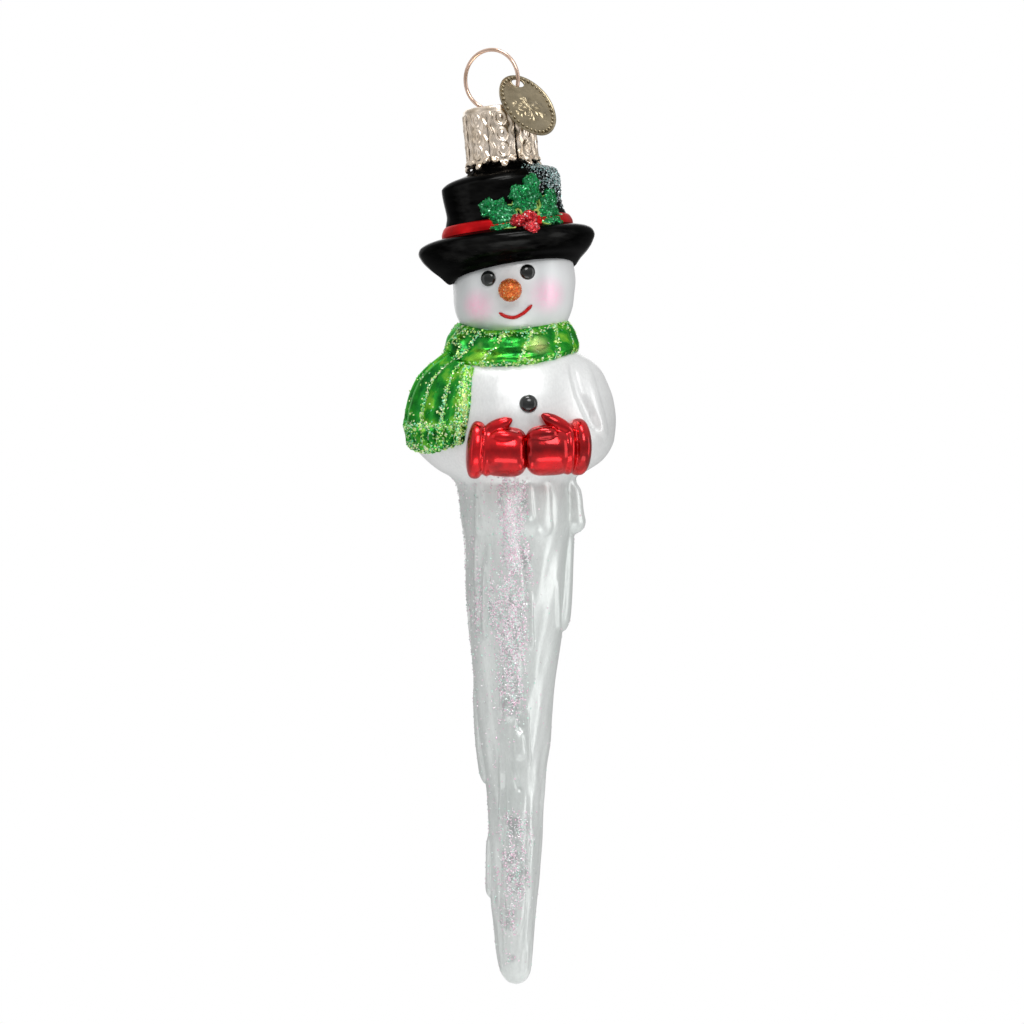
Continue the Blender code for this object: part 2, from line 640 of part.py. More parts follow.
def build():
    """Make every piece."""
    pearl = material("pearl_glass", (0.86, 0.87, 0.86), 0.3, 0.3)
    gold = material("champagne_gold", (0.62, 0.52, 0.38), 0.3, 1.0)
    copper = material("rose_gold_wire", (0.78, 0.58, 0.47), 0.25, 1.0)
    brass = material("tag_gold", (0.5, 0.43, 0.26), 0.35, 1.0)
    black = material("black_enamel", (0.01, 0.01, 0.01), 0.12, 0.0)
    red = material("red_enamel", (0.55, 0.04, 0.03), 0.3, 0.1)
    orange = material("orange_glitter", (0.65, 0.2, 0.06), 0.45, 0.4)
    green = material("green_glitter", (0.02, 0.3, 0.06), 0.45, 0.4)
    berry = material("berry_glitter", (0.5, 0.02, 0.03), 0.4, 0.4)
    silver = material("silver_glitter", (0.75, 0.78, 0.78), 0.35, 0.8)

    finished(glass_figure(), "glass_figure", pearl)
    finished(crown_cap(), "crown_cap", gold)
    finished(hanger_wire(), "hanger_wire", copper)
    finished(hang_tag(), "hang_tag", brass)

    for name, spot in EYES.items():
        depth = front_of_head(*spot) - DROP_RISE
        eye = dome(name, HEAD_FRAME, spot, EYE_RADIUS, depth, head_form("under", GAP), hat_form("over", GAP))
        finished(eye, name, black)
    depth = front_of_head(*NOSE_CENTRE) - NOSE_RISE
    nose = dome("nose", HEAD_FRAME, NOSE_CENTRE, NOSE_RADIUS, depth, head_form("under", GAP))
    finished(nose, "nose", orange)
    finished(mouth(), "mouth", red)
    depth = body_front(*BUTTON_CENTRE) - DROP_RISE
    button = dome("coat_button", Matrix(), BUTTON_CENTRE, BUTTON_RADIUS, depth, body_form("under", GAP))
    finished(button, "coat_button", black)

    for name, shape in LEAVES.items():
        finished(holly_leaf(name, *shape), name, green)
    band_centre, band_radius = BERRY_BAND
    for name, (across, up) in BERRIES.items():
        on_band = (band_radius ** 2 - (across - band_centre) ** 2) ** 0.5
        depth = -on_band - BERRY_RADIUS - GLITTER_DEPTH - GAP
        drop = dome(name, HEAD_FRAME, (across, up), BERRY_RADIUS, depth, hat_form("under", GAP))
        finished(drop, name, berry)
    finished(hat_frost(), "hat_frost", silver)

    for number, turn in enumerate(SCARF_RIDGES, 1):
        name = f"scarf_glitter_{number}"
        finished(scarf_ridge(name, turn), name, silver)
    for number, (top, foot) in enumerate(TAIL_RIDGES, 1):
        name = f"tail_glitter_{number}"
        finished(tail_ridge(name, top, foot), name, silver)
    for name, outline in (("icicle_glitter_upper", UPPER_STREAK), ("icicle_glitter_lower", LOWER_STREAK)):
        finished(streak(name, outline), name, silver)


build()
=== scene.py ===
import json
from math import asin, cos, pi, radians, sin, sqrt, tau

import bmesh
import bpy
import numpy as np
from mathutils import Matrix, Vector


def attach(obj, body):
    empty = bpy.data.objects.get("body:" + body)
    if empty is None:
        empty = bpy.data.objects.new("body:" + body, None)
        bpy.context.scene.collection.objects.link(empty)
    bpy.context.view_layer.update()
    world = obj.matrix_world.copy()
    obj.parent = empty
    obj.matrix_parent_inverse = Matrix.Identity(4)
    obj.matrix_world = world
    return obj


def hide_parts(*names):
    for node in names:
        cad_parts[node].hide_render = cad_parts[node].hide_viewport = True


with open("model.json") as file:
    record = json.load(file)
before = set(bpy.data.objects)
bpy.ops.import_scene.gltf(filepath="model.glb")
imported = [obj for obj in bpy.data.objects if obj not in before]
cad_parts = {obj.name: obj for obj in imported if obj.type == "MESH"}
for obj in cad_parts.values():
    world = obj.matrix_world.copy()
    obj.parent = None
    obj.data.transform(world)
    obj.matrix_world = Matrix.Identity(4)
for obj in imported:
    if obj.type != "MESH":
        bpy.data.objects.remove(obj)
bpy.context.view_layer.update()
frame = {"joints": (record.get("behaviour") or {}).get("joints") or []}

MM = 0.001


# ---- frames of the leaning pieces

def lean_frame(centre, lean):
    """The frame of a piece that leans to the left about centre, in millimetres."""
    return Matrix.Translation(centre) @ Matrix.Rotation(-lean, 4, "Y")


LEAN = radians(7)
HEAD = lean_frame((2.6, 0, -32.4), LEAN)
CAP = lean_frame((1.1, 0, -9.3), LEAN)
SKIRT = lean_frame((1, 0, -9.3), radians(5.3))      # the cap sits a little askew on the neck
SCARF_CENTRE = (3.1, 0, -48.4)
SCARF = lean_frame(SCARF_CENTRE, radians(3.5))
WIRE_RADIUS = 0.33
LOOP_RADIUS = 4.95
HANGER_TURN = Matrix.Rotation(radians(-28), 4, "Z")
LOOP = lean_frame((0, 0, WIRE_RADIUS - LOOP_RADIUS), radians(10)) @ HANGER_TURN


def moved(points, matrix):
    """Points (..., 3) carried by a 4 x 4 matrix."""
    m = np.array(matrix)
    return points @ m[:3, :3].T + m[:3, 3]


def unit(vectors):
    """Vectors scaled to length 1."""
    return vectors / np.maximum(np.linalg.norm(vectors, axis=-1, keepdims=True), 1e-12)


def gap(knots, x):
    """The number of the gap between knots that x lies in."""
    return np.clip(np.searchsorted(knots, x, side="right") - 1, 0, len(knots) - 2)


def curve_through(x, knots, values):
    """A smooth curve through (knots, values), with no overshoot, read at x."""
    knots = np.asarray(knots, float)
    values = np.asarray(values, float)
    step = np.diff(knots)
    slope = np.diff(values) / step
    tangent = np.zeros_like(values)
    same = slope[:-1] * slope[1:] > 0
    mean = 2 * slope[:-1] * slope[1:] / np.where(same, slope[:-1] + slope[1:], 1)
    tangent[1:-1] = np.where(same, mean, 0)
    tangent[0], tangent[-1] = slope[0], slope[-1]
    x = np.clip(x, knots[0], knots[-1])
    i = gap(knots, x)
    h = step[i]
    t = (x - knots[i]) / h
    return ((2 * t ** 3 - 3 * t ** 2 + 1) * values[i] + (t ** 3 - 2 * t ** 2 + t) * h * tangent[i]
            + (3 * t ** 2 - 2 * t ** 3) * values[i + 1] + (t ** 3 - t ** 2) * h * tangent[i + 1])


def smoothstep(low, high, x):
    """0 below low, 1 above high, and smooth between."""
    t = np.clip((x - low) / (high - low), 0, 1)
    return t * t * (3 - 2 * t)


def ripple(turn, height, seed, waves, turns, pitch):
    """A smooth random relief of about -1 to 1 that closes round a turn."""
    rng = np.random.default_rng(seed)
    total = np.zeros(np.broadcast(turn, height).shape)
    for _ in range(waves):
        around = rng.integers(turns[0], turns[1] + 1)
        slope = rng.uniform(*pitch) * height * rng.choice((-1, 1))
        total += np.sin(around * turn + slope + rng.uniform(0, tau))
    return total / sqrt(waves)


def wrapped(angle):
    """An angle brought to -pi to pi."""
    return (angle + pi) % tau - pi


def circle(count):
    """Even turns all the way round, in one row."""
    return np.arange(count)[None, :] * tau / count


def upright(turn, wide, deep, height, shift=0):
    """Places round an upright axis: turn is measured from the front, towards the right."""
    return np.stack([shift + wide * np.sin(turn), -deep * np.cos(turn), height + 0 * turn], -1)


def globe(gap, rows, cols):
    """Places on a ball of radius 1, from a gap round each pole."""
    tilt = np.linspace(gap, pi - gap, rows)[:, None]
    turn = circle(cols)
    wide = np.sin(tilt)
    return tilt, turn, np.stack([wide * np.cos(turn), wide * np.sin(turn), np.cos(tilt) + 0 * turn], -1)


def bell(x, middle, width):
    """A soft bump about a middle."""
    return np.exp(-((x - middle) / width) ** 2)


# ---- meshes: a shape is (points, faces), in millimetres

def tube(points):
    """A closed solid from rows x cols points: its two end rows run to a pole each."""
    rows, cols = points.shape[:2]
    here = np.arange(rows * cols).reshape(rows, cols)
    after = np.roll(here, -1, 1)
    faces = np.stack([here[:-1], after[:-1], after[1:], here[1:]], -1).reshape(-1, 4).tolist()
    for c in range(cols):
        faces.append((after[0, c], here[0, c], rows * cols))
        faces.append((here[-1, c], after[-1, c], rows * cols + 1))
    return np.concatenate([points.reshape(-1, 3), [points[0].mean(0), points[-1].mean(0)]]), faces


def ring(points):
    """A closed ring: rows x cols points, closed both ways."""
    here = np.arange(points[..., 0].size).reshape(points.shape[:2])
    right, below = np.roll(here, -1, 1), np.roll(here, -1, 0)
    faces = np.stack([here, right, np.roll(right, -1, 0), below], -1).reshape(-1, 4).tolist()
    return points.reshape(-1, 3), faces


def slab(front, back):
    """A closed sheet between two grids of rows x cols points."""
    rows, cols = front.shape[:2]
    index = np.arange(rows * cols).reshape(rows, cols)
    quads = np.stack([index[:-1, :-1], index[:-1, 1:], index[1:, 1:], index[1:, :-1]], -1).reshape(-1, 4)
    under = quads[:, ::-1] + rows * cols
    border = np.concatenate([index[0], index[1:, -1], index[-1, -2::-1], index[-2:0:-1, 0]])
    after = np.roll(border, -1)
    edge = np.stack([after, border, border + rows * cols, after + rows * cols], -1)
    faces = np.concatenate([quads, under, edge]).tolist()
    return np.concatenate([front.reshape(-1, 3), back.reshape(-1, 3)]), faces


def sweep(path, radius, sides=12, flat=(0, 1, 0)):
    """A round tube along path, which stays clear of the direction flat, with a radius for each point."""
    path = np.asarray(path, float)
    radius = np.broadcast_to(radius, len(path))
    along = unit(np.gradient(path, axis=0))
    side = unit(np.cross(along, flat))
    other = np.cross(along, side)
    turn = np.arange(sides) * tau / sides
    rings = (path[:, None] + radius[:, None, None] * (np.cos(turn)[None, :, None] * side[:, None]
             + np.sin(turn)[None, :, None] * other[:, None]))
    return tube(rings)


def ball(centre, radii, rows=14, cols=24, matrix=Matrix(), blunt=1):
    """An ellipsoid, its ends along X flattened where blunt is below 1."""
    points = globe(0.04, rows, cols)[2]
    points[..., 0] = np.sign(points[..., 0]) * np.abs(points[..., 0]) ** blunt
    return tube(moved(points * np.asarray(radii) + np.asarray(centre), matrix))


def joined(*meshes):
    """Several shapes as one."""
    points, faces, first = [], [], 0
    for some, these in meshes:
        points.append(np.asarray(some))
        faces.extend([[first + i for i in face] for face in these])
        first += len(some)
    return np.concatenate(points), faces


def outward_mesh(name, points, faces):
    """A mesh with its normals facing out."""
    mesh = bpy.data.meshes.new(name)
    mesh.from_pydata(points.tolist(), [], faces)
    bm = bmesh.new()
    bm.from_mesh(mesh)
    bmesh.ops.recalc_face_normals(bm, faces=bm.faces)
    bm.to_mesh(mesh)
    bm.free()
    return mesh


def linked(name, data):
    """An object of the scene that shows a mesh, a light or a camera."""
    made = bpy.data.objects.new(name, data)
    bpy.context.scene.collection.objects.link(made)
    return made


def mesh_object(name, shape, paint, smooth=50):
    """An object of a shape, its edges sharp where they turn by more than smooth degrees."""
    mesh = outward_mesh(name, shape[0] * MM, shape[1])
    mesh.materials.append(paint)
    mesh.shade_smooth()
    mesh.set_sharp_from_angle(angle=radians(smooth))
    return linked(name, mesh)


def placed(made, body, node):
    """Ride on a body and stand for a CAD node."""
    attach(made, body)
    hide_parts(node)


def on_figure(name, shape, paint, node="glass_figure", smooth=50):
    """A piece that rides on the figure and stands for one of its nodes."""
    placed(mesh_object(name, shape, paint, smooth), "figure", node)


def modified(shape, *settings):
    """A shape after modifiers, each (type, {property: value}), applied in millimetres."""
    draft = linked("draft", outward_mesh("draft", *shape))
    for kind, values in settings:
        modifier = draft.modifiers.new(kind, kind)
        for key, value in values.items():
            setattr(modifier, key, value)
    bpy.context.view_layer.update()
    result = bpy.data.meshes.new_from_object(draft.evaluated_get(bpy.context.evaluated_depsgraph_get()))
    points = np.zeros(len(result.vertices) * 3, np.float32)
    result.vertices.foreach_get("co", points)
    bpy.data.objects.remove(draft, do_unlink=True)
    return points.reshape(-1, 3).astype(float), [list(face.vertices) for face in result.polygons]


def cut(shape, tool):
    """A shape less another."""
    cutter = linked("tool", outward_mesh("tool", *tool))
    result = modified(shape, ("BOOLEAN", {"operation": "DIFFERENCE", "solver": "EXACT", "object": cutter}))
    bpy.data.objects.remove(cutter, do_unlink=True)
    return result


# ---- materials

class Nodes:
    """Shader nodes in a tree. A source is an output, a number, a vector or a colour."""

    def __init__(self, tree):
        self.tree = tree

    def link(self, source, target):
        """Link an output, or set a value, on an input."""
        if isinstance(source, tuple) and target.type == "RGBA":
            source = (*source[:3], 1)
        if isinstance(source, (int, float, tuple)):
            target.default_value = source
        else:
            self.tree.links.new(source, target)

    def node(self, kind, inputs, output=0, **values):
        """One output of a new node, after its properties and inputs are set."""
        made = self.tree.nodes.new("ShaderNode" + kind)
        for key, value in values.items():
            setattr(made, key, value)
        for socket, source in inputs.items():
            self.link(source, made.inputs[socket])
        return made.outputs[output]

    def ramp(self, value, *stops):
        """A colour ramp of (place, colour) stops."""
        made = self.node("ValToRGB", {"Fac": value})
        elements = made.node.color_ramp.elements
        while len(elements) < len(stops):
            elements.new(0.5)
        for element, (place, color) in zip(elements, stops):
            element.position = place
            element.color = (*color, 1)
        return made

    def grey(self, value, low, high, at=0.3, to=0.7):
        """The value spread from low to high."""
        spread = {"Value": value, "From Min": at, "From Max": to, "To Min": low, "To Max": high}
        return self.node("MapRange", spread, "Result")

    def mix(self, factor, first, second, blend="MIX"):
        """Two colours mixed."""
        return self.node("Mix", {0: factor, 6: first, 7: second}, 2, data_type="RGBA", blend_type=blend)

    def tones(self, value, first, second, at=0.3, to=0.7):
        """One colour run into another as the value goes from at to to."""
        return self.mix(self.grey(value, 0, 1, at, to), first, second)

    def math(self, operation, first, second):
        """One arithmetic step."""
        return self.node("Math", {0: first, 1: second}, operation=operation)


class Paint(Nodes):
    """A Principled material whose colour, roughness and bump are built from procedural nodes."""

    def __init__(self, name, color, roughness, metallic=0, **sockets):
        self.material = bpy.data.materials.new(name)
        self.material.use_nodes = True
        super().__init__(self.material.node_tree)
        self.shader = self.tree.nodes["Principled BSDF"]
        sockets = {"Base_Color": color, "Roughness": roughness, "Metallic": metallic, **sockets}
        for socket, value in sockets.items():
            self.link(value, self.shader.inputs[socket.replace("_", " ")])
        self.place = self.node("TexCoord", {}, "Object")

    def noise(self, scale, detail=3, stretch=(1, 1, 1)):
        """A noise of about 0 to 1, its scale in features for each millimetre."""
        place = self.node("Mapping", {"Scale": stretch, "Vector": self.place})
        return self.node("TexNoise", {"Vector": place, "Scale": scale / MM, "Detail": detail}, "Fac")

    def blob(self, centre, radii, soft=1):
        """1 at a place in the object, falling to 0 at its radii, both in millimetres."""
        off = self.node("VectorMath", {0: self.place, 1: tuple(c * MM for c in centre)}, operation="SUBTRACT")
        off = self.node("VectorMath", {0: off, 1: tuple(1 / (r * MM) for r in radii)}, operation="MULTIPLY")
        off = self.node("VectorMath", {0: off}, "Value", operation="LENGTH")
        fall = {"Value": off, "From Min": 1, "From Max": 1 - soft}
        return self.node("MapRange", fall, "Result", interpolation_type="SMOOTHERSTEP")

    def finish(self, color, roughness, bump=None, depth=0.05):
        """Link the colour, roughness and bump, whose depth is in millimetres."""
        inputs = self.shader.inputs
        self.link(color, inputs["Base Color"])
        self.link(roughness, inputs["Roughness"])
        if bump is not None:
            relief = self.node("Bump", {"Distance": depth * MM, "Strength": 1, "Height": bump})
            self.link(relief, inputs["Normal"])
        return self.material


# Soft tints on the face: pink cheeks, a painted highlight on the forehead that lifts the shade under the brim,
# and pale rings round the eyes; place in the head's frame, radii, colour, strength
HEAD_TINTS_AND_HIGHLIGHT = (
    ((-6.7, -8.4, -9.8), (5, 5.2, 4.3), (0.98, 0.52, 0.68), 0.8),
    ((6.1, -8.6, -9.4), (5.4, 5.4, 4.6), (0.98, 0.56, 0.72), 0.8),
    # painted highlight: lightens the forehead where the brim shades it
    ((-0.5, -9.8, -4.2), (4.6, 4, 2.6), (0.97, 0.97, 0.97), 0.8),
    ((-3.8, -9.2, -5.45), (2.3, 3, 2.3), (0.97, 0.98, 0.98), 0.9),
    ((2.75, -9.4, -5.2), (2.3, 3, 2.3), (0.97, 0.98, 0.98), 0.9),
)


# The pearl lacquer's noises: scale, detail and stretch
STREAKS = (0.16, 4, (1, 1, 0.22))
SATIN = (0.5, 3, (1, 1, 0.4))
DIMPLES = (1.1, 2, (1, 1, 0.6))


def head_paint():
    """Satin pearl lacquer over silvered glass, streaked where the silver shows through, with pink cheeks, pale
    rings round the eyes and a painted highlight on the forehead under the brim.
    """
    white = (0.82, 0.83, 0.835)
    paint = Paint("pearl_head", white, 0.4, 0.3, Coat_Weight=0.35, Coat_Roughness=0.22)
    color = paint.tones(paint.noise(*STREAKS), white, (0.68, 0.705, 0.71))
    for centre, radii, tint, strength in HEAD_TINTS_AND_HIGHLIGHT:
        speckle = paint.grey(paint.noise(2.2, 2), 0.75, 1.1)
        amount = paint.math("MULTIPLY", paint.blob(tuple(HEAD @ Vector(centre)), radii), speckle)
        color = paint.mix(paint.math("MULTIPLY", amount, strength), color, tint)
    rough = paint.grey(paint.noise(*SATIN), 0.34, 0.48)
    return paint.finish(color, rough, paint.noise(*DIMPLES), 0.02)


def lacquer(name, dark, bright, roughness, metallic, coat):
    """Candy lacquer over the silvered glass, unevenly brushed on."""
    paint = Paint(name, bright, roughness, metallic, Coat_Weight=coat, Coat_Roughness=0.13,
                  Specular_Tint=bright)
    color = paint.tones(paint.noise(0.28, 4), dark, bright, 0.35, 0.65)
    rough = paint.grey(paint.noise(0.9), roughness - 0.05, roughness + 0.07)
    return paint.finish(color, rough, paint.noise(0.7), 0.03)


def flake_paint(name, stops, roughness=0.25, metallic=0.75, coat=0.4):
    """Glitter flakes, each with its own tint."""
    paint = Paint(name, stops[-1][1], roughness, metallic, Coat_Weight=coat, Coat_Roughness=0.1)
    tint = paint.node("Attribute", {}, "Fac", attribute_name="tint", attribute_type="GEOMETRY")
    fleck = paint.grey(paint.noise(6, 1), 0.85, 1.1)
    rough = paint.grey(paint.noise(5, 1), roughness - 0.08, roughness + 0.1)
    return paint.finish(paint.mix(1, paint.ramp(tint, *stops), fleck, "MULTIPLY"), rough)


def stamped_metal(name, color, dark, roughness, grain=0.012):
    """Thin stamped metal with a soft tarnish and brushing."""
    paint = Paint(name, color, roughness, 1, Coat_Weight=0.15, Coat_Roughness=0.2)
    rough = paint.grey(paint.noise(1.6, 4), roughness - 0.08, roughness + 0.12)
    color = paint.tones(paint.noise(0.45, 5), color, dark, 0.35, 0.7)
    return paint.finish(color, rough, paint.noise(2), grain)


# ---- glitter

FLAKE_LIFT = 0.05             # a flake's middle lies this far off the surface
FLAKE_THIN = 0.3              # a flake's half thickness for its radius


def scatter(shape, count, weight, seed, inside):
    """Random places on a shape's quads, chosen by area times weight(places, normals), and their normals."""
    corners = shape[0][np.array([face for face in shape[1] if len(face) == 4])]
    normal = np.cross(corners[:, 2] - corners[:, 0], corners[:, 3] - corners[:, 1])
    area = np.linalg.norm(normal, axis=1) / 2
    middle = corners.mean(1)
    normal = unit(normal) * np.sign(np.sum(normal * (middle - np.asarray(inside))))
    rng = np.random.default_rng(seed)
    chance = area * np.maximum(weight(middle, normal), 0)
    chosen = rng.choice(len(corners), count, p=chance / chance.sum())
    u, v = rng.random((2, count, 1))
    a, b, c, d = corners[chosen].transpose(1, 0, 2)
    place = (a * (1 - u) + b * u) * (1 - v) + (d * (1 - u) + c * u) * v
    return place + normal[chosen] * FLAKE_LIFT, normal[chosen]


def flakes(name, spots, normals, size, seed, paint, tilt):
    """An object of tiny closed flakes lying on a surface, each tilted its own way."""
    rng = np.random.default_rng(seed)
    count = len(spots)
    up = unit(normals + rng.normal(0, tilt, (count, 3)))
    side = unit(np.cross(up, unit(rng.normal(0, 1, (count, 3)))))
    other = np.cross(up, side)
    radius = size * rng.uniform(0.6, 1.35, (count, 1))
    tips = np.stack([side * radius, other * radius * 0.8, -side * radius, -other * radius * 0.8,
                     up * radius * FLAKE_THIN, -up * radius * FLAKE_THIN], 1) + spots[:, None]
    faces = []
    for first in range(0, count * 6, 6):
        for here, after in ((0, 1), (1, 2), (2, 3), (3, 0)):
            faces.append((first + here, first + after, first + 4))
            faces.append((first + after, first + here, first + 5))
    mesh = bpy.data.meshes.new(name)
    mesh.from_pydata((tips.reshape(-1, 3) * MM).tolist(), [], faces)
    tint = mesh.attributes.new("tint", "FLOAT", "FACE")
    tint.data.foreach_set("value", np.repeat(rng.random(count), 8).astype(np.float32))
    mesh.materials.append(paint)
    return linked(name, mesh)


def glitter(name, shape, count, weight, seed, paint, node, size, tilt, inside):
    """A piece of loose flakes scattered over a shape, standing for a CAD node of glitter."""
    spots, normals = scatter(shape, count, weight, seed, inside)
    placed(flakes(name, spots, normals, size, seed + 1, paint, tilt), "figure", node)


# ---- the frosted body: torso and icicle

# From the top down: height, left edge, right edge, half depth
BODY = np.array((
    (-47.6, -4.5, 11.6, 6.6), (-49.5, -7.2, 13.6, 9.6), (-51.4, -9, 16.6, 10.9), (-53, -10.6, 18.2, 11.9),
    (-54.7, -11.8, 19.1, 12.7), (-58.1, -13, 20.3, 13.6), (-61.4, -13.5, 20.7, 14), (-64.7, -13.3, 20.4, 13.9),
    (-66.4, -12.5, 19.7, 13.6), (-68.1, -10.9, 18.4, 12.9), (-69.7, -8.9, 16.1, 12), (-71, -6.7, 14, 11),
    (-72.2, -5.9, 13.5, 10.3), (-74.7, -5.4, 13.7, 10.1), (-78.1, -5.1, 13.7, 10), (-81.4, -4.6, 13.2, 9.3),
    (-84.7, -4.4, 12.9, 9), (-91.4, -4.1, 12.4, 8.7), (-96.4, -3.75, 11.8, 8.3), (-101.4, -3.25, 11.1, 7.6),
    (-108.1, -2.7, 10.25, 6.7), (-114.7, -2.2, 9.7, 6.3), (-119.7, -1.5, 8.95, 5.8), (-123.1, -0.9, 8.75, 5.1),
    (-128, -0.65, 8.45, 4.9), (-133.1, -0.5, 8.25, 4.75), (-138.1, -0.4, 7.95, 4.5), (-141.4, -0.2, 7.6, 4.2),
    (-144.7, 0.25, 7.25, 3.8), (-148.1, 0.6, 6.95, 3.4), (-151.4, 1.1, 6.7, 2.9), (-153.1, 1.45, 6.5, 2.5),
    (-154.4, 2.2, 5.95, 1.9), (-155.1, 3, 5.2, 1.1), (-155.4, 4, 4.2, 0.1),
))
EDGE = 99                     # a place across that stands for the body's outermost edge

# Runs of ice: the path as (height, across) from the top down, half width, height, and on some whether it is
# on the back and its swing round
DRIPS = (
    (((-71.5, 2.6), (-78, 2.9), (-86.4, 3.55)), 1.25, 0.75),
    (((-71.5, 6.2), (-77.9, 6.5)), 0.65, 0.5),
    (((-88.5, 6.5), (-99.4, 6.8)), 0.45, 0.5),
    (((-71.5, 8.9), (-80.6, 8.9)), 1.5, 0.4),
    (((-86.5, 3.4), (-100, 3.3), (-111.2, 2.9)), 2, 0.5),
    (((-98, 1.95), (-111, 1.9)), 0.3, -0.3),
    (((-80, 4.6), (-92, 5.9)), 0.5, -0.35),
    (((-109.5, 4.5), (-112.9, 4.9)), 0.9, -0.6),
    (((-112.6, 4.4), (-117.6, 4.9)), 1.2, 0.55),
    (((-108, 5.9), (-118.4, 6.2)), 0.35, 0.35),
    (((-113.5, 1.5), (-127.5, 1.5)), 0.4, 0.35),
    (((-114.5, 2.3), (-127, 2.2)), 0.3, -0.25),
    (((-116.5, 3), (-123, 4.6)), 0.6, -0.35),
    (((-118, 4.2), (-127, 4), (-146.8, 3.3)), 2.4, 0.45),
    (((-129.5, 5.9), (-138.8, 5.85)), 0.4, 0.35),
    (((-139.5, 2.3), (-146, 2.4)), 0.3, -0.3),
    (((-71.5, -2.6), (-80.5, -2.2)), 0.9, 0.4),
    (((-78, -2.9), (-96, -2.3)), 0.8, 0.35),
    (((-84, -1.3), (-97.5, -1)), 0.7, 0.35),
    (((-87, 10.9), (-96.4, 11.1)), 0.8, 0.3),
    (((-70.2, EDGE), (-80.3, EDGE)), 2.3, 2.4, False, -0.2),
    (((-76, EDGE), (-96.6, EDGE)), 2.3, 1.15, False, -0.15),
    (((-103, -EDGE), (-121.9, -EDGE)), 1.9, 0.75, False, 0.1),
    (((-129, -EDGE), (-140.9, -EDGE)), 1.5, 0.85, False, 0.1),
)
# Between these heights the torso's satin runs into the icicle's ice
ICE_FROM = (-69, -74)
# The inner edges of the arms, pressed into the torso, front and back
CREASES = (
    (((-50.5, 12.9), (-54, 13.7), (-57.5, 14.7), (-63.2, 17.4)), 1.5, -0.7),
    (((-51, 15.3), (-55, 16.4), (-58.5, 17.3), (-64.5, 18.8)), 1.8, 0.4),
    (((-52, 13.8), (-64.5, 16.2)), 1.1, -0.45, True),
    (((-52, -6.4), (-64.5, -9.2)), 1.1, -0.45, True),
)


def back_drips():
    """Runs of ice on the back, which the front view doesn't show."""
    rng = np.random.default_rng(11)
    made = []
    for number in range(13):
        top = -71.5 - 5.4 * number * rng.uniform(0.75, 1)
        share = rng.uniform(-0.8, 0.8)
        low = top - rng.uniform(8, 17)
        across = [4.2 + share * width for width in np.interp((-top, -low), (70, 150), (8.5, 2.8))]
        made.append((((top, across[0]), (low, across[1])), rng.uniform(0.5, 1.4), rng.uniform(0.3, 0.8), True))
    return tuple(made)


def body_section(height):
    """The body's middle, half width and half depth at a height."""
    left, right, depth = (curve_through(-height, -BODY[:, 0], BODY[:, column]) for column in (1, 2, 3))
    return (left + right) / 2, (right - left) / 2, depth


def run_of_ice(turn, height, path, half_width, rise, back=False, swing=0):
    """The relief of one run down the body, which swells towards its rounded end."""
    heights = np.array([spot[0] for spot in path])
    middle, half, depth = body_section(height)
    across = np.interp(-height, -heights, [spot[1] for spot in path])
    at = np.arcsin(np.clip((across - middle) / half, -1, 1))
    at = (pi - at if back else at) + swing
    reach = np.sqrt((half * np.cos(at)) ** 2 + (depth * np.sin(at)) ** 2)
    length = heights[0] - heights[-1]
    along = np.clip((heights[0] - height) / length, 0, 1)
    end = min(0.5, half_width * 1.2 / length)
    tip = np.sqrt(np.clip(1 - (np.maximum(along - 1 + end, 0) / end) ** 2, 0, 1))
    width = half_width * (0.6 + 0.4 * along) * np.maximum(tip, 0.02)
    off = np.clip(np.abs(wrapped(turn - at)) * reach / width, 0, 1)
    lift = rise * smoothstep(0, 0.3, along) * (0.55 + 0.45 * along) * tip
    return lift * (1 - off ** 2) ** 0.7


def body_points(turn, height, out=0):
    """Places on the body."""
    middle, half, depth = body_section(height)
    return upright(turn, half + out, depth + out, height, middle)


def body_relief(turn, height):
    """How far the body's surface stands off its plain section."""
    relief = np.zeros(np.broadcast(turn, height).shape)
    for run in DRIPS + back_drips() + CREASES:
        relief += run_of_ice(turn, height, *run)
    icy = smoothstep(*ICE_FROM, height) * smoothstep(-155.4, -150, height)
    relief += icy * 0.13 * ripple(turn, height, 3, 9, (2, 7), (0.02, 0.3))
    relief += icy * 0.05 * ripple(turn, height, 4, 9, (8, 17), (0.1, 0.6))
    return relief + 0.05 * ripple(turn, height, 5, 8, (1, 4), (0.1, 0.4)) * (1 - icy)


def body_shape():
    """The torso and icicle in one closed surface."""
    rows = np.concatenate([np.linspace(-47.6, -70.6, 76), np.linspace(-71, -148, 226),
                           -148 - 7.4 * np.sin(np.linspace(0.03, pi / 2, 36))])[:, None]
    turn = circle(224)
    return tube(body_points(turn, rows, body_relief(turn, rows)))


# ---- head and face

# Height and radius in the head's frame
HEAD_ROWS = np.array(((-1, 6), (-2.6, 9.7), (-4.3, 10.15), (-7.3, 10.25), (-9.5, 10.05), (-11.1, 9.7),
                      (-11.9, 9.4), (-13.3, 8.65), (-15.2, 7.3), (-16.9, 4.9), (-17.6, 2.5), (-17.8, 0.4)))
HEAD_SHIFT = 0.05
HEAD_DEPTH = 0.965            # the head's depth for its width
CHEEKS = ((-6.5, -9.8), (6, -9.4))


def head_relief(across, height, front):
    """Cheeks, brow and the dents round the mouth."""
    relief = np.zeros(np.broadcast(across, height).shape)
    for spot in CHEEKS:
        away = ((across - spot[0]) / 2.6) ** 2 + ((height - spot[1]) / 2.3) ** 2
        relief += 0.4 * np.exp(-away)
    relief += 0.3 * np.exp(-((across + 0.6) / 3.4) ** 2 - ((height + 13.9) / 1.5) ** 2)
    relief -= 0.22 * np.exp(-((across + 0.7) / 4.2) ** 2 - ((height + 10) / 1.1) ** 2)
    return relief * front


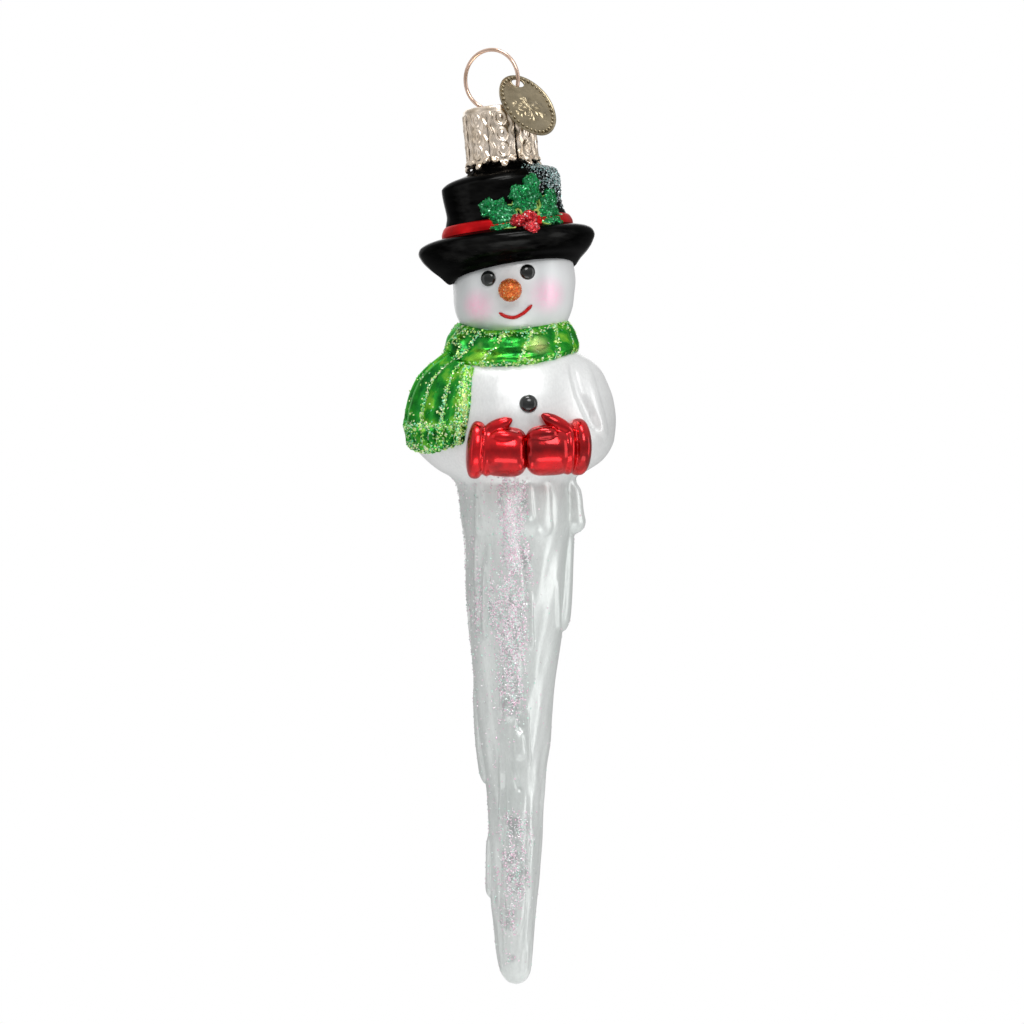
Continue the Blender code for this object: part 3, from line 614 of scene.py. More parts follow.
def head_surface(across, height, out=0):
    """A place on the front of the head, in the head's frame."""
    radius = curve_through(-height, -HEAD_ROWS[:, 0], HEAD_ROWS[:, 1])
    out = out + head_relief(across, height, 1)
    inside = np.sqrt(np.maximum(1 - ((across - HEAD_SHIFT) / radius) ** 2, 0))
    return np.stack([across + 0 * height, -(radius * HEAD_DEPTH + out) * inside, height + 0 * across], -1)


def head_shape():
    """The round head."""
    sweep_down = np.linspace(0, 1, 110)
    rows = (-1 - 16.8 * (0.35 * sweep_down + 0.65 * np.sin(sweep_down * pi / 2)))[:, None]
    turn = circle(160)
    radius = curve_through(-rows, -HEAD_ROWS[:, 0], HEAD_ROWS[:, 1])
    relief = head_relief(HEAD_SHIFT + radius * np.sin(turn), rows, np.maximum(np.cos(turn), 0))
    relief = relief + 0.04 * ripple(turn, rows, 8, 7, (2, 6), (0.2, 0.6))
    relief = relief + 0.35 * np.sin(turn) * smoothstep(-10, -6, rows)
    return tube(moved(upright(turn, radius + relief, radius * HEAD_DEPTH + relief, rows, HEAD_SHIFT), HEAD))


def facing(spot, out):
    """A frame at spot whose -Y points along out."""
    back = -Vector(out).normalized()
    side = back.cross(Vector((0, 0, 1))).normalized()
    return Matrix.Translation(Vector(spot)) @ Matrix((side, back, side.cross(back))).transposed().to_4x4()


def head_frame(across, height):
    """A frame standing on the front of the head, in the ornament's frame."""
    step = 0.05
    spot, beside, above = (head_surface(np.array(x), np.array(z))
                           for x, z in ((across, height), (across + step, height), (across, height + step)))
    return HEAD @ facing(spot, np.cross(beside - spot, above - spot))


def dome(radius, depth, matrix):
    """A drop of enamel: a rounded dome with a soft foot, its foot sunk in the surface."""
    swing = np.linspace(0.02, pi - 0.02, 26)[:, None]
    turn = circle(40)
    out = np.where(swing < pi / 2, depth, 0.3) * np.cos(swing)
    wide = radius * np.sin(swing) ** 0.85
    return tube(moved(np.stack([wide * np.cos(turn), -out + 0 * turn, wide * np.sin(turn)], -1), matrix))


# ---- hat

# Height, radius, shift and share of the drooping lip, from the lip over the brim and crown into the neck
HAT_LIP = 1.8                 # how far the lip rises at the front and back
HAT_LIP_TURN = radians(10)    # its highest place lies this far round to the right
HAT_LIP_TILT = 0.35
HAT_ROWS = np.array((
    (-4.6, 8.6, 0.1, 0.95), (-5, 9.9, 0.1, 0.95), (-5.1, 10.5, 0.1, 0.93), (-4.85, 10.95, 0.1, 0.87),
    (-3.9, 11.8, 0.1, 0.66), (-2.4, 13.3, 0.1, 0.28), (-0.7, 14.45, 0.05, 0.04), (0.3, 14.8, 0.05, 0),
    (1.1, 14.55, 0.05, 0), (1.75, 13.6, 0.1, 0), (2.1, 12.4, 0.2, 0), (2.35, 11.2, 0.3, 0),
    (2.9, 10.5, 0.35, 0), (4.4, 10.1, 0.3, 0), (6, 9.65, 0.15, 0), (9, 9.85, 0.05, 0),
    (10.4, 9.9, 0.1, 0), (11.1, 9.45, 0.3, 0), (11.6, 8.85, 0.8, 0), (12, 7.9, 1.3, 0),
    (12.3, 6.9, 1.3, 0), (12.6, 6.25, 1.1, 0), (13, 5.8, 1.1, 0), (13.3, 5.45, 1.25, 0),
    (13.8, 5.35, 1.33, 0), (14.4, 5.15, 1.33, 0), (14.4, 4.7, 1.33, 0), (14, 4.5, 1.33, 0),
    (11, 4.4, 1.33, 0), (10.9, 0.3, 1.33, 0),
))
CROWN_RADIUS = 9.75


def along_rows(rows, count):
    """Rows resampled evenly along the outline that their first two columns draw."""
    run = np.concatenate([[0], np.cumsum(np.linalg.norm(np.diff(rows[:, :2], axis=0), axis=1))])
    even = np.linspace(0, run[-1], count)
    return np.stack([curve_through(even, run, rows[:, column]) for column in range(rows.shape[1])], -1)


def hat_points(rows, turn, relief=0):
    """Places on the hat, in the head's frame."""
    height, radius, shift, lip = (rows[:, column, None] for column in range(4))
    droop = HAT_LIP * np.abs(np.cos(turn - HAT_LIP_TURN)) ** 0.7 + HAT_LIP_TILT * np.sin(turn)
    return upright(turn, radius + relief, radius + relief, height + lip * droop, shift)


def hat_shape():
    """Brim and crown in one closed surface."""
    rows = along_rows(HAT_ROWS, 190)
    turn = circle(192)
    height = rows[:, :1]
    crown = smoothstep(4, 6, height) * smoothstep(13, 11, height)
    brim = smoothstep(2.3, 1, height) * smoothstep(-5, -3, height)
    relief = 0.10 * crown * ripple(turn, height, 21, 7, (2, 6), (0.2, 0.7))
    relief = relief + 0.09 * brim * ripple(turn, height, 22, 6, (2, 5), (0.1, 0.5))
    return tube(moved(hat_points(rows, turn, relief), HEAD))


def band_shape():
    """The ribbon round the foot of the crown."""
    section = np.array(((2.15, 10.5), (2.3, 10.95), (2.8, 11), (3.5, 10.8), (4, 10.5), (4.2, 10.2),
                        (4.1, 9.5), (2.3, 9.5)))
    closed = np.concatenate([section, section[:1]])
    rows = along_rows(closed, 41)[:-1]
    turn = circle(192)
    wave = 0.08 * ripple(turn, rows[:, :1], 23, 5, (3, 9), (0.3, 0.9))
    radius = rows[:, 1:] + wave
    return ring(moved(upright(turn, radius, radius, rows[:, :1] + 0.6 * wave, 0.3), HEAD))


def neck_shape():
    """The silvered glass neck that the cap grips, open at the top."""
    rows = along_rows(np.array(((-13.5, 4.5), (-12, 4.95), (-10, 5), (-1.3, 5), (-0.9, 4.85), (-0.75, 4.5),
                                (-0.9, 4.15), (-1.3, 3.98), (-11.8, 3.95), (-12.2, 3.6), (-12.3, 0.3))), 90)
    return tube(moved(upright(circle(96), rows[:, 1:], rows[:, 1:], rows[:, :1]), CAP))


def crown_place(across, height, out):
    """A place on the crown from the arc across it and the height, in the head's frame."""
    radius = np.interp(height, (1.2, 1.8, 2.3, 2.9, 4.4, 6, 10.6, 11.4, 12.1),
                       (13.8, 12.7, 11.2, 10.5, 10.1, 9.65, 9.95, 9.6, 8.7)) + out
    return upright(across / CROWN_RADIUS, radius, radius, height, 0.2)


# ---- holly

# Arc across the crown, height, length, width, heading of the tip, teeth
LEAVES = {
    "holly_leaf_left": ((-1.2, 5.4, 6.6, 5, radians(155), 3), (-0.4, 3.1, 4.4, 3, radians(185), 2)),
    "holly_leaf_top": ((3.2, 6.9, 5.4, 5.2, radians(122), 3), (4.7, 7.8, 6.8, 4.8, radians(74), 3)),
    "holly_leaf_right": ((8.2, 5.6, 6.4, 4.8, radians(52), 3), (7.9, 3.5, 5.6, 3.4, radians(2), 2)),
}
BERRIES = {"holly_berry_left": (1.75, 3.05), "holly_berry_right": (3.6, 3.5), "holly_berry_low": (2.9, 1.5)}


def leaf_half_width(along, width, teeth):
    """Half the leaf's width along it: a pointed oval with spines."""
    saw = 1 - np.abs(2 * ((along * teeth + 0.1) % 1) - 1)
    return width / 2 * np.sin(pi * np.clip(along, 0, 1) ** 0.9) ** 0.6 * (0.62 + 0.38 * saw ** 1.6)


def leaf_place(leaf, along, side, out):
    """A place on a leaf, in the ornament's frame."""
    across, height, length, _, heading, _ = leaf
    forward = length * (along - 0.5)
    x = across + forward * cos(heading) - side * sin(heading)
    z = height + forward * sin(heading) + side * cos(heading)
    return moved(crown_place(x, z, out), HEAD)


def leaf_shape(leaf):
    """A domed leaf with a pressed midrib, lying on the crown."""
    along = np.linspace(0.01, 0.99, 64)[:, None]
    turn = circle(28)
    half = leaf_half_width(along, leaf[3], leaf[5])
    top = np.maximum(np.sin(turn), 0) ** 0.7
    rise = 0.75 * np.sin(pi * along) ** 0.4 * top * (1 - 0.35 * np.exp(-(np.cos(turn) / 0.2) ** 2))
    out = np.where(np.sin(turn) > 0, rise, -0.3)
    return tube(leaf_place(leaf, along + 0 * turn, half * np.cos(turn), out))


def leaf_edge(leaf):
    """The bare painted line round the foot of a leaf."""
    along = np.concatenate([np.linspace(0.62, 0.02, 40), np.linspace(0.02, 0.3, 20)])
    side = leaf_half_width(along, leaf[3] + 0.3, leaf[5]) * np.repeat((1, -1), (40, 20))
    radius = 0.25 * np.sin(np.linspace(0.08, pi - 0.08, 60)) ** 0.5
    return sweep(leaf_place(leaf, along, side, 0.12), radius, 8, (0.1, 1, 0))


def berry_shape(spot):
    """A lumpy berry."""
    tilt, turn, points = globe(0.05, 22, 32)
    radius = 1.27 + 0.06 * ripple(turn, 9 * tilt, int(spot[0] * 10), 6, (2, 6), (0.5, 1))
    centre = crown_place(np.array(spot[0]), np.array(spot[1]), 0.55)
    return tube(moved(radius[..., None] * points + centre, HEAD))


# ---- scarf

# Height and radius in the scarf's frame
SCARF_ROWS = np.array(((3.2, 7), (3.8, 8.2), (3.75, 9), (3.2, 9.8), (2.2, 10.4), (0.6, 11), (-1.2, 11.35),
                       (-2.6, 11.35), (-3.6, 10.95), (-4.1, 10.3), (-4.2, 9.4), (-3.6, 8.4)))
SCARF_DEPTH = 0.945
SCARF_DROOP = 1.8             # how far the wrap sinks at the front, under the chin
SCARF_LIFT = 1.1              # how far its lower border rises again at the right
SCARF_RIBS = np.radians((-70, -38, -14, 13, 43, 66, 90, 116, 143, 171, 199, 227, 256))
SCARF_SLANT = radians(2.2)    # the ribs lean this much round the neck for each millimetre up
KNOT = (radians(-55), -0.7, 1.9)     # turn, height and radius of the knot's loop


def knot_reach(turn, height):
    """The distance from the middle of the knot's loop."""
    return np.hypot(wrapped(turn - KNOT[0]) * 9.8, (height - KNOT[1]) * 0.85)


def scarf_sink(turn, height):
    """How far the wrap hangs down at a turn, for a height in its section."""
    lift = SCARF_LIFT * smoothstep(1, -3, height) * np.maximum(np.sin(turn), 0) ** 2
    return (0.3 + SCARF_DROOP * smoothstep(-3, 2, height)) * np.maximum(np.cos(turn), 0) ** 1.5 - lift


def scarf_swell(turn, height):
    """How far the wrap's lower edge spreads over the chest, and how far its sides draw in."""
    chest = 2 * smoothstep(0.8, -4, height) * np.maximum(np.cos(turn), 0) ** 1.5
    return chest - (0.65 - 0.2 * np.sin(turn)) * np.sin(turn) ** 2


def rib_places(turn, height):
    """The place between two ribs, 0 to 1, and the distance to the nearer rib, in millimetres."""
    ribs = np.concatenate([SCARF_RIBS, [SCARF_RIBS[0] + tau]])
    shifted = (turn - SCARF_SLANT * height - SCARF_RIBS[0]) % tau + SCARF_RIBS[0]
    index = gap(ribs, shifted)
    low, high = ribs[index], ribs[index + 1]
    return (shifted - low) / (high - low), np.minimum(shifted - low, high - shifted) * 11.3


def scarf_relief(turn, height):
    """Pillows between the ribs, a bead on each rib, and the knot's loop."""
    part, away = rib_places(turn, height)
    span = smoothstep(-4.2, -2.4, height) * smoothstep(3.6, 1.4, height)
    relief = 0.62 * span * (4 * part * (1 - part)) ** 0.7 + 0.28 * np.exp(-(away / 0.45) ** 2)
    reach = knot_reach(turn, height)
    inside = smoothstep(KNOT[2] + 1.2, KNOT[2], reach)
    return relief * (1 - inside) + 0.85 * bell(reach, KNOT[2], 0.75) + 0.5 * inside


def scarf_shape():
    """The wrap round the neck."""
    rows = along_rows(SCARF_ROWS, 74)
    height = rows[:, :1]
    turn = circle(300)
    radius = rows[:, 1:] + scarf_relief(turn, height) * smoothstep(8, 9.6, rows[:, 1:])
    radius = radius + scarf_swell(turn, height)
    return tube(moved(upright(turn, radius, SCARF_DEPTH * radius, height - scarf_sink(turn, height)), SCARF))


TAIL_RIBS = np.array((0, 0.3, 0.58, 0.8, 1))
FRINGE_TOP = 0.74             # share of the tail's length above its fringe
TASSELS = 11


def tail_sides(down):
    """The turns of the tail's left and right border, from its top, 0, to its foot, 1."""
    left = np.radians(curve_through(down, (0, 0.12, 0.3, 0.6, 1), (-69, -83, -92, -98, -96)))
    return left, np.radians(curve_through(down, (0, 0.5, 1), (-27, -24.5, -28)))


def tail_place(across, down, out):
    """A place on the scarf's tail: across it from left to right and down it, both 0 to 1."""
    left, right = tail_sides(down)
    turn = left + (right - left) * across
    top = -49.3 - 3.7 * across
    tassel = np.abs(np.sin(pi * TASSELS * across))
    foot = -65 - 1.6 * np.sin(pi * across) - 0.45 * tassel
    return body_points(turn, top + (foot - top) * down, out)


def tail_thickness(across, down):
    """The folds, their ribs and the fringe."""
    index = gap(TAIL_RIBS, across)
    low, high = TAIL_RIBS[index], TAIL_RIBS[index + 1]
    part = (across - low) / (high - low)
    away = np.minimum(across - low, high - across) * 14
    cloth = 0.35 + 1.05 * (4 * part * (1 - part)) ** 0.6 + 0.3 * np.exp(-(away / 0.4) ** 2)
    tassel = 0.3 + 0.95 * np.abs(np.sin(pi * TASSELS * across)) ** 0.8
    fringe = smoothstep(FRINGE_TOP - 0.02, FRINGE_TOP + 0.02, down)
    hem = 0.3 * np.exp(-((down - FRINGE_TOP) * 15 / 0.5) ** 2)
    rim = np.clip(np.minimum(across, 1 - across) / 0.06, 0, 1) * np.clip((1 - down) / 0.05, 0, 1)
    slim = 0.25 + 0.75 * smoothstep(0, 0.3, across)
    return (cloth * (1 - fringe) + tassel * fringe + hem) * slim * np.sqrt(1 - (1 - rim) ** 2) + 0.08


def tail_shape():
    """The hanging end of the scarf, which lies on the torso."""
    across = np.linspace(0, 1, 157)[None, :]
    down = np.linspace(0, 1, 110)[:, None]
    front = tail_place(across + 0 * down, down + 0 * across, tail_thickness(across, down))
    return slab(front, tail_place(across + 0 * down, down + 0 * across, np.array(-0.5)))


# ---- mittens

# Each mitten's lumps: balls (middle, radii, axis and degrees of turn, bluntness) and bars (start, end,
# radius at each)
MITTENS = {
    "mitten_left": ((((2.25, -12.2, -66.7), (4.05, 4.5, 4.25), "Y", 2, 0.5),
                     ((-2.4, -11.6, -66.4), (1.75, 4.75, 4.9), "Y", 5, 0.7),
                     ((-0.6, -12, -66.6), (1.6, 4.2, 4.3), "Y", 3, 1)),
                    (((-0.6, -13.9, -63.5), (2.7, -14.5, -61.9), 1.4, 1.05),
                     ((0.9, -15.4, -64.4), (4.4, -15, -64.7), 1.5, 1.15),
                     ((4.7, -14.9, -64.3), (4.8, -14.9, -69.2), 1, 1))),
    "mitten_right": ((((9.3, -12.1, -66.5), (4.2, 4.5, 4.25), "Y", -3, 0.5),
                      ((14.2, -10.7, -66), (1.8, 4.7, 4.7), "Z", 16, 0.7),
                      ((12.5, -11.6, -66.3), (1.7, 4.3, 4.3), "Z", 8, 1)),
                     (((9.1, -14.4, -61.3), (12.8, -14, -63.5), 1.2, 1.3),
                      ((6.8, -15.1, -64.2), (9.8, -15.7, -63.9), 1.25, 1.25),
                      ((6.5, -15, -64.4), (6.6, -15, -69), 0.9, 0.9))),
}


def capsule(start, end, start_radius, radius):
    """A rounded bar between two points."""
    start, end = np.array(start), np.array(end)
    share = np.linspace(0, 1, 24)[:, None]
    path = start + (end - start) * share - unit(end - start) * np.cos(share * pi) * radius * 0.8
    thick = np.sin(np.clip(share * pi, 0.12, pi - 0.12)) ** 0.55
    return sweep(path, (thick * (start_radius + (radius - start_radius) * share))[:, 0], 20, (0.1, 1, 0.05))


def mitten_shape(balls, bars):
    """A palm, a thumb and a rolled cuff: lumps run together and softened, as the mould does."""
    lumps = [ball((0, 0, 0), radii, 24, 40,
                  Matrix.Translation(centre) @ Matrix.Rotation(radians(angle), 4, axis), blunt)
             for centre, radii, axis, angle, blunt in balls]
    return modified(joined(*lumps, *[capsule(*bar) for bar in bars]),
                    ("REMESH", {"mode": "VOXEL", "voxel_size": 0.17}),
                    ("SMOOTH", {"factor": 0.5, "iterations": 6}))


# ---- cap, wire and tag

CAP_RADIUS = 5.85
CAP_FLAT = 5.3                # radius of the flat top
CAP_ROUND = 0.7               # height of its rounded edge
CAP_SHEET = 0.3
CAP_TABS = 8
CAP_FIRST_SLIT = radians(-20)
TAB_WIDTH = tau * CAP_RADIUS / CAP_TABS


def soft_line(distance, width, rise):
    """A rounded ridge about a line, from the distance to it."""
    return rise * np.exp(-(distance / width) ** 2)


def cap_relief(across, down):
    """The stamping of one tab: oval rings, wavy stems, dots and three beads at its foot."""
    relief = np.zeros(np.broadcast(across, down).shape)
    for middle in (2.2, 4.85, 7.5):
        oval = np.hypot(across / 0.85, (down - middle) / 1.15)
        relief += soft_line((oval - 1) * 0.95, 0.2, 0.26) + soft_line(oval, 0.42, 0.16)
    for side in (-1, 1):
        relief += soft_line(across - side * (1.72 + 0.22 * np.sin(tau * down / 2.65)), 0.24, 0.26)
        relief += 0.5 * np.sqrt(np.clip(1 - ((across - side * 1.5) ** 2 + (down - 9.15) ** 2) / 0.3, 0, 1))
    relief += 0.6 * np.sqrt(np.clip(1 - (across ** 2 + (down - 10.05) ** 2) / 0.38, 0, 1))
    return relief * smoothstep(0.9, 1.4, down) + soft_line(down - 1.05, 0.16, 0.12)


def cap_shape():
    """The stamped sheet cap: a flat top and a skirt in eight tabs, with slots for the wire's legs."""
    turn = circle(336)
    part = ((turn - CAP_FIRST_SLIT) / tau * CAP_TABS) % 1
    foot = 8.85 + (0.8 * np.abs(np.sin(3 * pi * part)) ** 0.6 + bell(part, 0.5, 0.13))
    flat = np.linspace(0.06, CAP_FLAT, 14)[:, None]
    corner = np.linspace(0, pi / 2, 6)[1:, None]
    skirt = np.linspace(0, 1, 68)[1:, None]
    buckle = 0.05 * ripple(turn, 6 * skirt, 31, 7, (3, 12), (0.2, 0.8))
    down = CAP_ROUND + (foot - CAP_ROUND) * skirt
    curl = CAP_RADIUS - CAP_FLAT
    outer = ((flat, 0.08 * np.cos(flat / CAP_FLAT * pi / 2)),
             (CAP_FLAT + curl * np.sin(corner), CAP_ROUND * np.cos(corner) - CAP_ROUND),
             (CAP_RADIUS + cap_relief((part - 0.5) * TAB_WIDTH, down) + buckle, -down))
    inner = ((CAP_RADIUS - CAP_SHEET + buckle, -down),
             (CAP_FLAT + (curl - CAP_SHEET) * np.sin(corner),
              (CAP_ROUND - CAP_SHEET) * np.cos(corner) - CAP_ROUND),
             (flat - 0.02, -CAP_SHEET + 0 * flat))
    radius, height = (np.concatenate([rows[column] + 0 * turn for rows in outer]
                                     + [rows[column][::-1] + 0 * turn for rows in inner]) for column in (0, 1))
    shape = tube(upright(turn, radius, radius, height))
    for pair in range(CAP_TABS // 2):
        shape = cut(shape, slit_tool(CAP_FIRST_SLIT + pair * tau / CAP_TABS, 0.3 if pair else 0.1))
    for side in (-1, 1):
        shape = cut(shape, block(HANGER_TURN, (side * 2.85, 0, 0), (1.7, 1.4, 3)))
    return moved(shape[0], SKIRT), shape[1]


def block(matrix, centre, size):
    """A box."""
    signs = np.array([(x, y, z) for x in (-0.5, 0.5) for y in (-0.5, 0.5) for z in (-0.5, 0.5)])
    faces = [[0, 1, 3, 2], [4, 6, 7, 5], [0, 4, 5, 1], [2, 3, 7, 6], [0, 2, 6, 4], [1, 5, 7, 3]]
    return moved(signs * np.asarray(size) + np.asarray(centre), matrix), faces


def slit_tool(angle, width):
    """A wedge across the cap that opens a slit between tabs on both sides."""
    points, faces = block(Matrix(), (0, 0, -6.95), (width, 15, 10.1))
    points[:, 0] *= np.where(points[:, 2] < -5, 1.7, 0.8)
    return moved(points, Matrix.Rotation(angle, 4, "Z")), faces


def wire_shape():
    """One springy wire: a round loop whose two ends turn down through the cap."""
    turned = CAP @ HANGER_TURN
    turns = -pi / 2 - radians(36) - np.linspace(0, 1, 90) * radians(288)
    loop = moved(LOOP_RADIUS * np.stack([np.cos(turns), 0 * turns, np.sin(turns)], -1), LOOP)
    legs = []
    for side in (-1, 1):
        drop = np.linspace(0.35, -15, 40)
        spread = np.interp(-drop, (-0.35, 0.5, 15), (2.78, 2.75, 3.2))
        legs.append(moved(np.stack([side * spread, 0 * drop, drop], -1), turned))
    path = np.concatenate([legs[0][::-1], loop, legs[1]])
    radius = np.full(len(path), WIRE_RADIUS)
    radius[[0, -1]] = 0.2
    flat = np.array(HANGER_TURN)[:3, 1]
    return sweep(path, radius, 16, flat)


TAG_LENGTH = 14.8
TAG_WIDTH = 9.2
TAG_SHEET = 0.3
TAG_CENTRE = -5.5             # the oval's middle, below its hole
TAG_HANG = radians(44)
TAG_HEADING = radians(24.8)


def tag_frame():
    """The hanging tag's frame: its origin at the hole, X across it and Z towards its upper end."""
    hinge = Vector([joint for joint in frame["joints"] if joint["name"] == "tag_swing"][0]["pos_m"]) / MM
    heading = Vector((sin(TAG_HEADING), -cos(TAG_HEADING), 0))
    down = heading * sin(TAG_HANG) - Vector((0, 0, 1)) * cos(TAG_HANG)
    across = Vector((cos(TAG_HEADING), sin(TAG_HEADING), 0))
    axes = Matrix((across, across.cross(down), -down)).transposed().to_4x4()
    return Matrix.Translation(hinge) @ axes


def snowflake(x, z):
    """A plain six-armed snowflake, pressed into the tag."""
    relief = np.zeros(np.broadcast(x, z).shape)
    for arm in range(6):
        angle = radians(30 + 60 * arm)
        along = x * cos(angle) + z * sin(angle)
        off = -x * sin(angle) + z * cos(angle)
        reach = smoothstep(-0.1, 0.1, along) * smoothstep(3.1, 2.8, along)
        relief = np.maximum(relief, soft_line(off, 0.2, 0.2) * reach)
        for branch in (1.1, 2):
            fork = np.abs(np.abs(off) - (along - branch) * 1.1) * 0.67
            near = smoothstep(0, 0.1, along - branch) * smoothstep(branch + 0.75, branch + 0.55, along)
            relief = np.maximum(relief, soft_line(fork, 0.16, 0.17) * near)
    return relief


def tag_shape():
    """The oval stamped tag with its beaded rim, threaded on the loop by its hole."""
    turn = circle(144)
    share = np.linspace(0.01, 1, 44)[:, None]
    x = share * TAG_WIDTH / 2 * np.cos(turn)
    z = share * TAG_LENGTH / 2 * np.sin(turn)
    relief = snowflake(x, z + 1.1) + soft_line((share - 0.985) * 5.5, 0.14, 0.1)
    relief = relief + 0.04 * ripple(turn, 6 * share, 41, 6, (1, 6), (0.3, 1))
    half = TAG_SHEET / 2
    front = np.stack([x, -half - relief, z + TAG_CENTRE], -1)
    back = np.stack([x, half - relief * 0.8, z + TAG_CENTRE], -1)
    plate = tube(np.concatenate([front, back[::-1]]))
    swing = np.linspace(0, tau, 20, endpoint=False)
    rim = np.stack([1.1 * np.cos(swing), 0 * swing, 1.1 * np.sin(swing)], -1)
    hole = tube(np.stack([rim + (0, y, 0) for y in (-2, 2)]))
    plate = cut(plate, hole)
    wide, tall = 0.87 * TAG_WIDTH / 2, 0.915 * TAG_LENGTH / 2
    beads = [ball((wide * cos(angle), -half - 0.04, tall * sin(angle) + TAG_CENTRE), (0.3, 0.27, 0.3), 9, 14)
             for angle in circle(36)[0]]
    eyelet = ring(np.stack([np.stack([(1.25 + 0.2 * cos(a)) * np.cos(swing), 0.2 * sin(a) + 0 * swing,
                                      (1.25 + 0.2 * cos(a)) * np.sin(swing)], -1)
                            for a in np.linspace(0, tau, 10, endpoint=False)]))
    points, faces = joined(plate, *beads, eyelet)
    return moved(points, tag_frame()), faces


# ---- finishes

# Where the icicle's glitter gathers: across, height, half width, half height, strength
GLITTER_PATCHES = (
    (3.3, -79, 1.2, 7.4, 4.5), (1.6, -75.5, 0.6, 2.8, 0.8), (5.3, -74.9, 0.6, 2.9, 2.2),
    (5.7, -84.5, 0.9, 3.6, 1), (3.3, -95, 2.4, 6.8, 1.5), (0.1, -92, 0.7, 4.2, 0.8),
    (3.3, -106, 2, 5.5, 1), (-2.1, -91.5, 0.7, 5.5, 0.5), (4.2, -128.6, 2.5, 2.2, 0.8),
    (3.9, -135.5, 2.2, 5.5, 1.1), (3.2, -143.5, 1.2, 3.6, 0.8), (3.4, -150.8, 0.9, 1, 0.6),
)
# The pale ridge where that glitter lies thickest: its centre and radii
GLITTER_RIDGE = ((3.2, -9.5, -79.3), (1.35, 8, 8))


def body_paint():
    """Pearl lacquer: whiter on the torso, greyer and more silvery on the icicle."""
    paint = Paint("pearl_body", (0.86, 0.875, 0.87), 0.36, 0.4, Coat_Weight=0.7, Coat_Roughness=0.22)
    streaks = paint.grey(paint.noise(*STREAKS), 0, 1)
    torso = paint.mix(streaks, (0.86, 0.865, 0.86), (0.76, 0.775, 0.77))
    ice = paint.mix(streaks, (0.80, 0.83, 0.815), (0.64, 0.68, 0.66))
    height = paint.math("DIVIDE", paint.node("SeparateXYZ", {0: paint.place}, "Z"), MM)
    color = paint.tones(height, torso, ice, *ICE_FROM)
    mottle = paint.grey(paint.noise(0.7, 4), 0, 0.85, 0.42, 0.6)
    for across, height, wide, tall, _ in GLITTER_PATCHES:
        under = paint.blob((across, -7, height), (wide * 1.3, 8, tall * 1.2), 0.6)
        color = paint.mix(paint.math("MULTIPLY", under, mottle), color, (0.42, 0.44, 0.44))
    ridge = paint.blob(*GLITTER_RIDGE, 0.35)
    color = paint.mix(paint.math("MULTIPLY", ridge, 0.95), color, (0.97, 0.95, 0.96))
    color = paint.mix(1, color, paint.grey(paint.noise(3, 2, (1, 1, 0.5)), 0.96, 1.04), "MULTIPLY")
    rough = paint.grey(paint.noise(*SATIN), 0.28, 0.42)
    bump = paint.math("ADD", paint.noise(*DIMPLES), paint.math("MULTIPLY", paint.noise(5, 2), 0.3))
    return paint.finish(color, rough, bump, 0.025)


# Lime marks on the scarf: the first is a painted highlight on the pillow right of the front, the others are
# paler lime patches; centre and radii
LIME_PATCHES_AND_HIGHLIGHT = (((7.9, -11.5, -48.8), (2.9, 4, 2.5)), ((-2, -12.5, -49), (1.2, 4, 1.6)),
                ((-4.4, -12.5, -59), (0.9, 5, 4.5)))
# painted shade: darkens the hollow inside the knot's loop
KNOT_PAINTED_SHADE = ((-6, -7, -49.3), (1.3, 4, 2))


def scarf_paint():
    """Candy green lacquer, bottle green to lime at random, with painted shade in the knot's hollow, lime
    patches and a painted highlight on the pillow right of the front.
    """
    paint = Paint("candy_green", (0.03, 0.42, 0.04), 0.26, 0.9, Coat_Weight=0.15, Coat_Roughness=0.16,
                  Specular_Tint=(0.1, 0.6, 0.1))
    color = paint.ramp(paint.noise(0.3), (0.36, (0.004, 0.15, 0.02)), (0.52, (0.025, 0.36, 0.03)),
                       (0.66, (0.26, 0.66, 0.05)))
    # painted shade: the knot's hollow darkened to bottle green
    color = paint.mix(paint.blob(*KNOT_PAINTED_SHADE, 0.7), color, (0.003, 0.13, 0.02))
    # the first mark is a painted highlight, the others paler lime patches
    for centre, radii in LIME_PATCHES_AND_HIGHLIGHT:
        thin = paint.math("MULTIPLY", paint.blob(centre, radii, 0.9), paint.grey(paint.noise(1), 0.7, 1))
        color = paint.mix(thin, color, (0.85, 1, 0.36))
    return paint.finish(color, paint.grey(paint.noise(1.2), 0.2, 0.34), paint.noise(0.8), 0.04)


def hat_paint():
    """Thick black lacquer with faint brush strokes round the hat."""
    paint = Paint("black_lacquer", (0.006, 0.006, 0.006), 0.16, 0.85, Specular_IOR_Level=0.07,
                  Specular_Tint=(0.12, 0.12, 0.12))
    strokes = paint.noise(0.35, 4, (1, 1, 3.5))
    color = paint.tones(strokes, (0.003, 0.003, 0.003), (0.015, 0.015, 0.0145))
    return paint.finish(color, paint.grey(strokes, 0.1, 0.22), strokes)


def enamel(name, dark, bright, roughness, grain, coat=0.15, shine=0.1):
    """A raised drop of enamel, brushed unevenly."""
    paint = Paint(name, bright, roughness, Coat_Weight=coat, Coat_Roughness=shine, Specular_IOR_Level=0.2)
    spots = paint.noise(grain, 4)
    color = paint.tones(spots, dark, bright)
    return paint.finish(color, paint.grey(spots, roughness - 0.06, roughness + 0.1), spots)


def glittered(name, dark, bright, cell, metallic):
    """A coat of fine glitter in tinted glue: small facets, each with its own tilt and tone."""
    paint = Paint(name, bright, 0.35, metallic, Coat_Weight=0.12, Coat_Roughness=0.15)
    cells = paint.node("TexVoronoi", {"Vector": paint.place, "Scale": cell / MM}, "Color")
    tone = paint.node("SeparateColor", {"Color": cells}).node.outputs
    rough = paint.grey(tone["Green"], 0.18, 0.5, 0, 1)
    return paint.finish(paint.mix(tone["Red"], dark, bright), rough, tone["Blue"], 0.07)


# ---- pieces on the figure

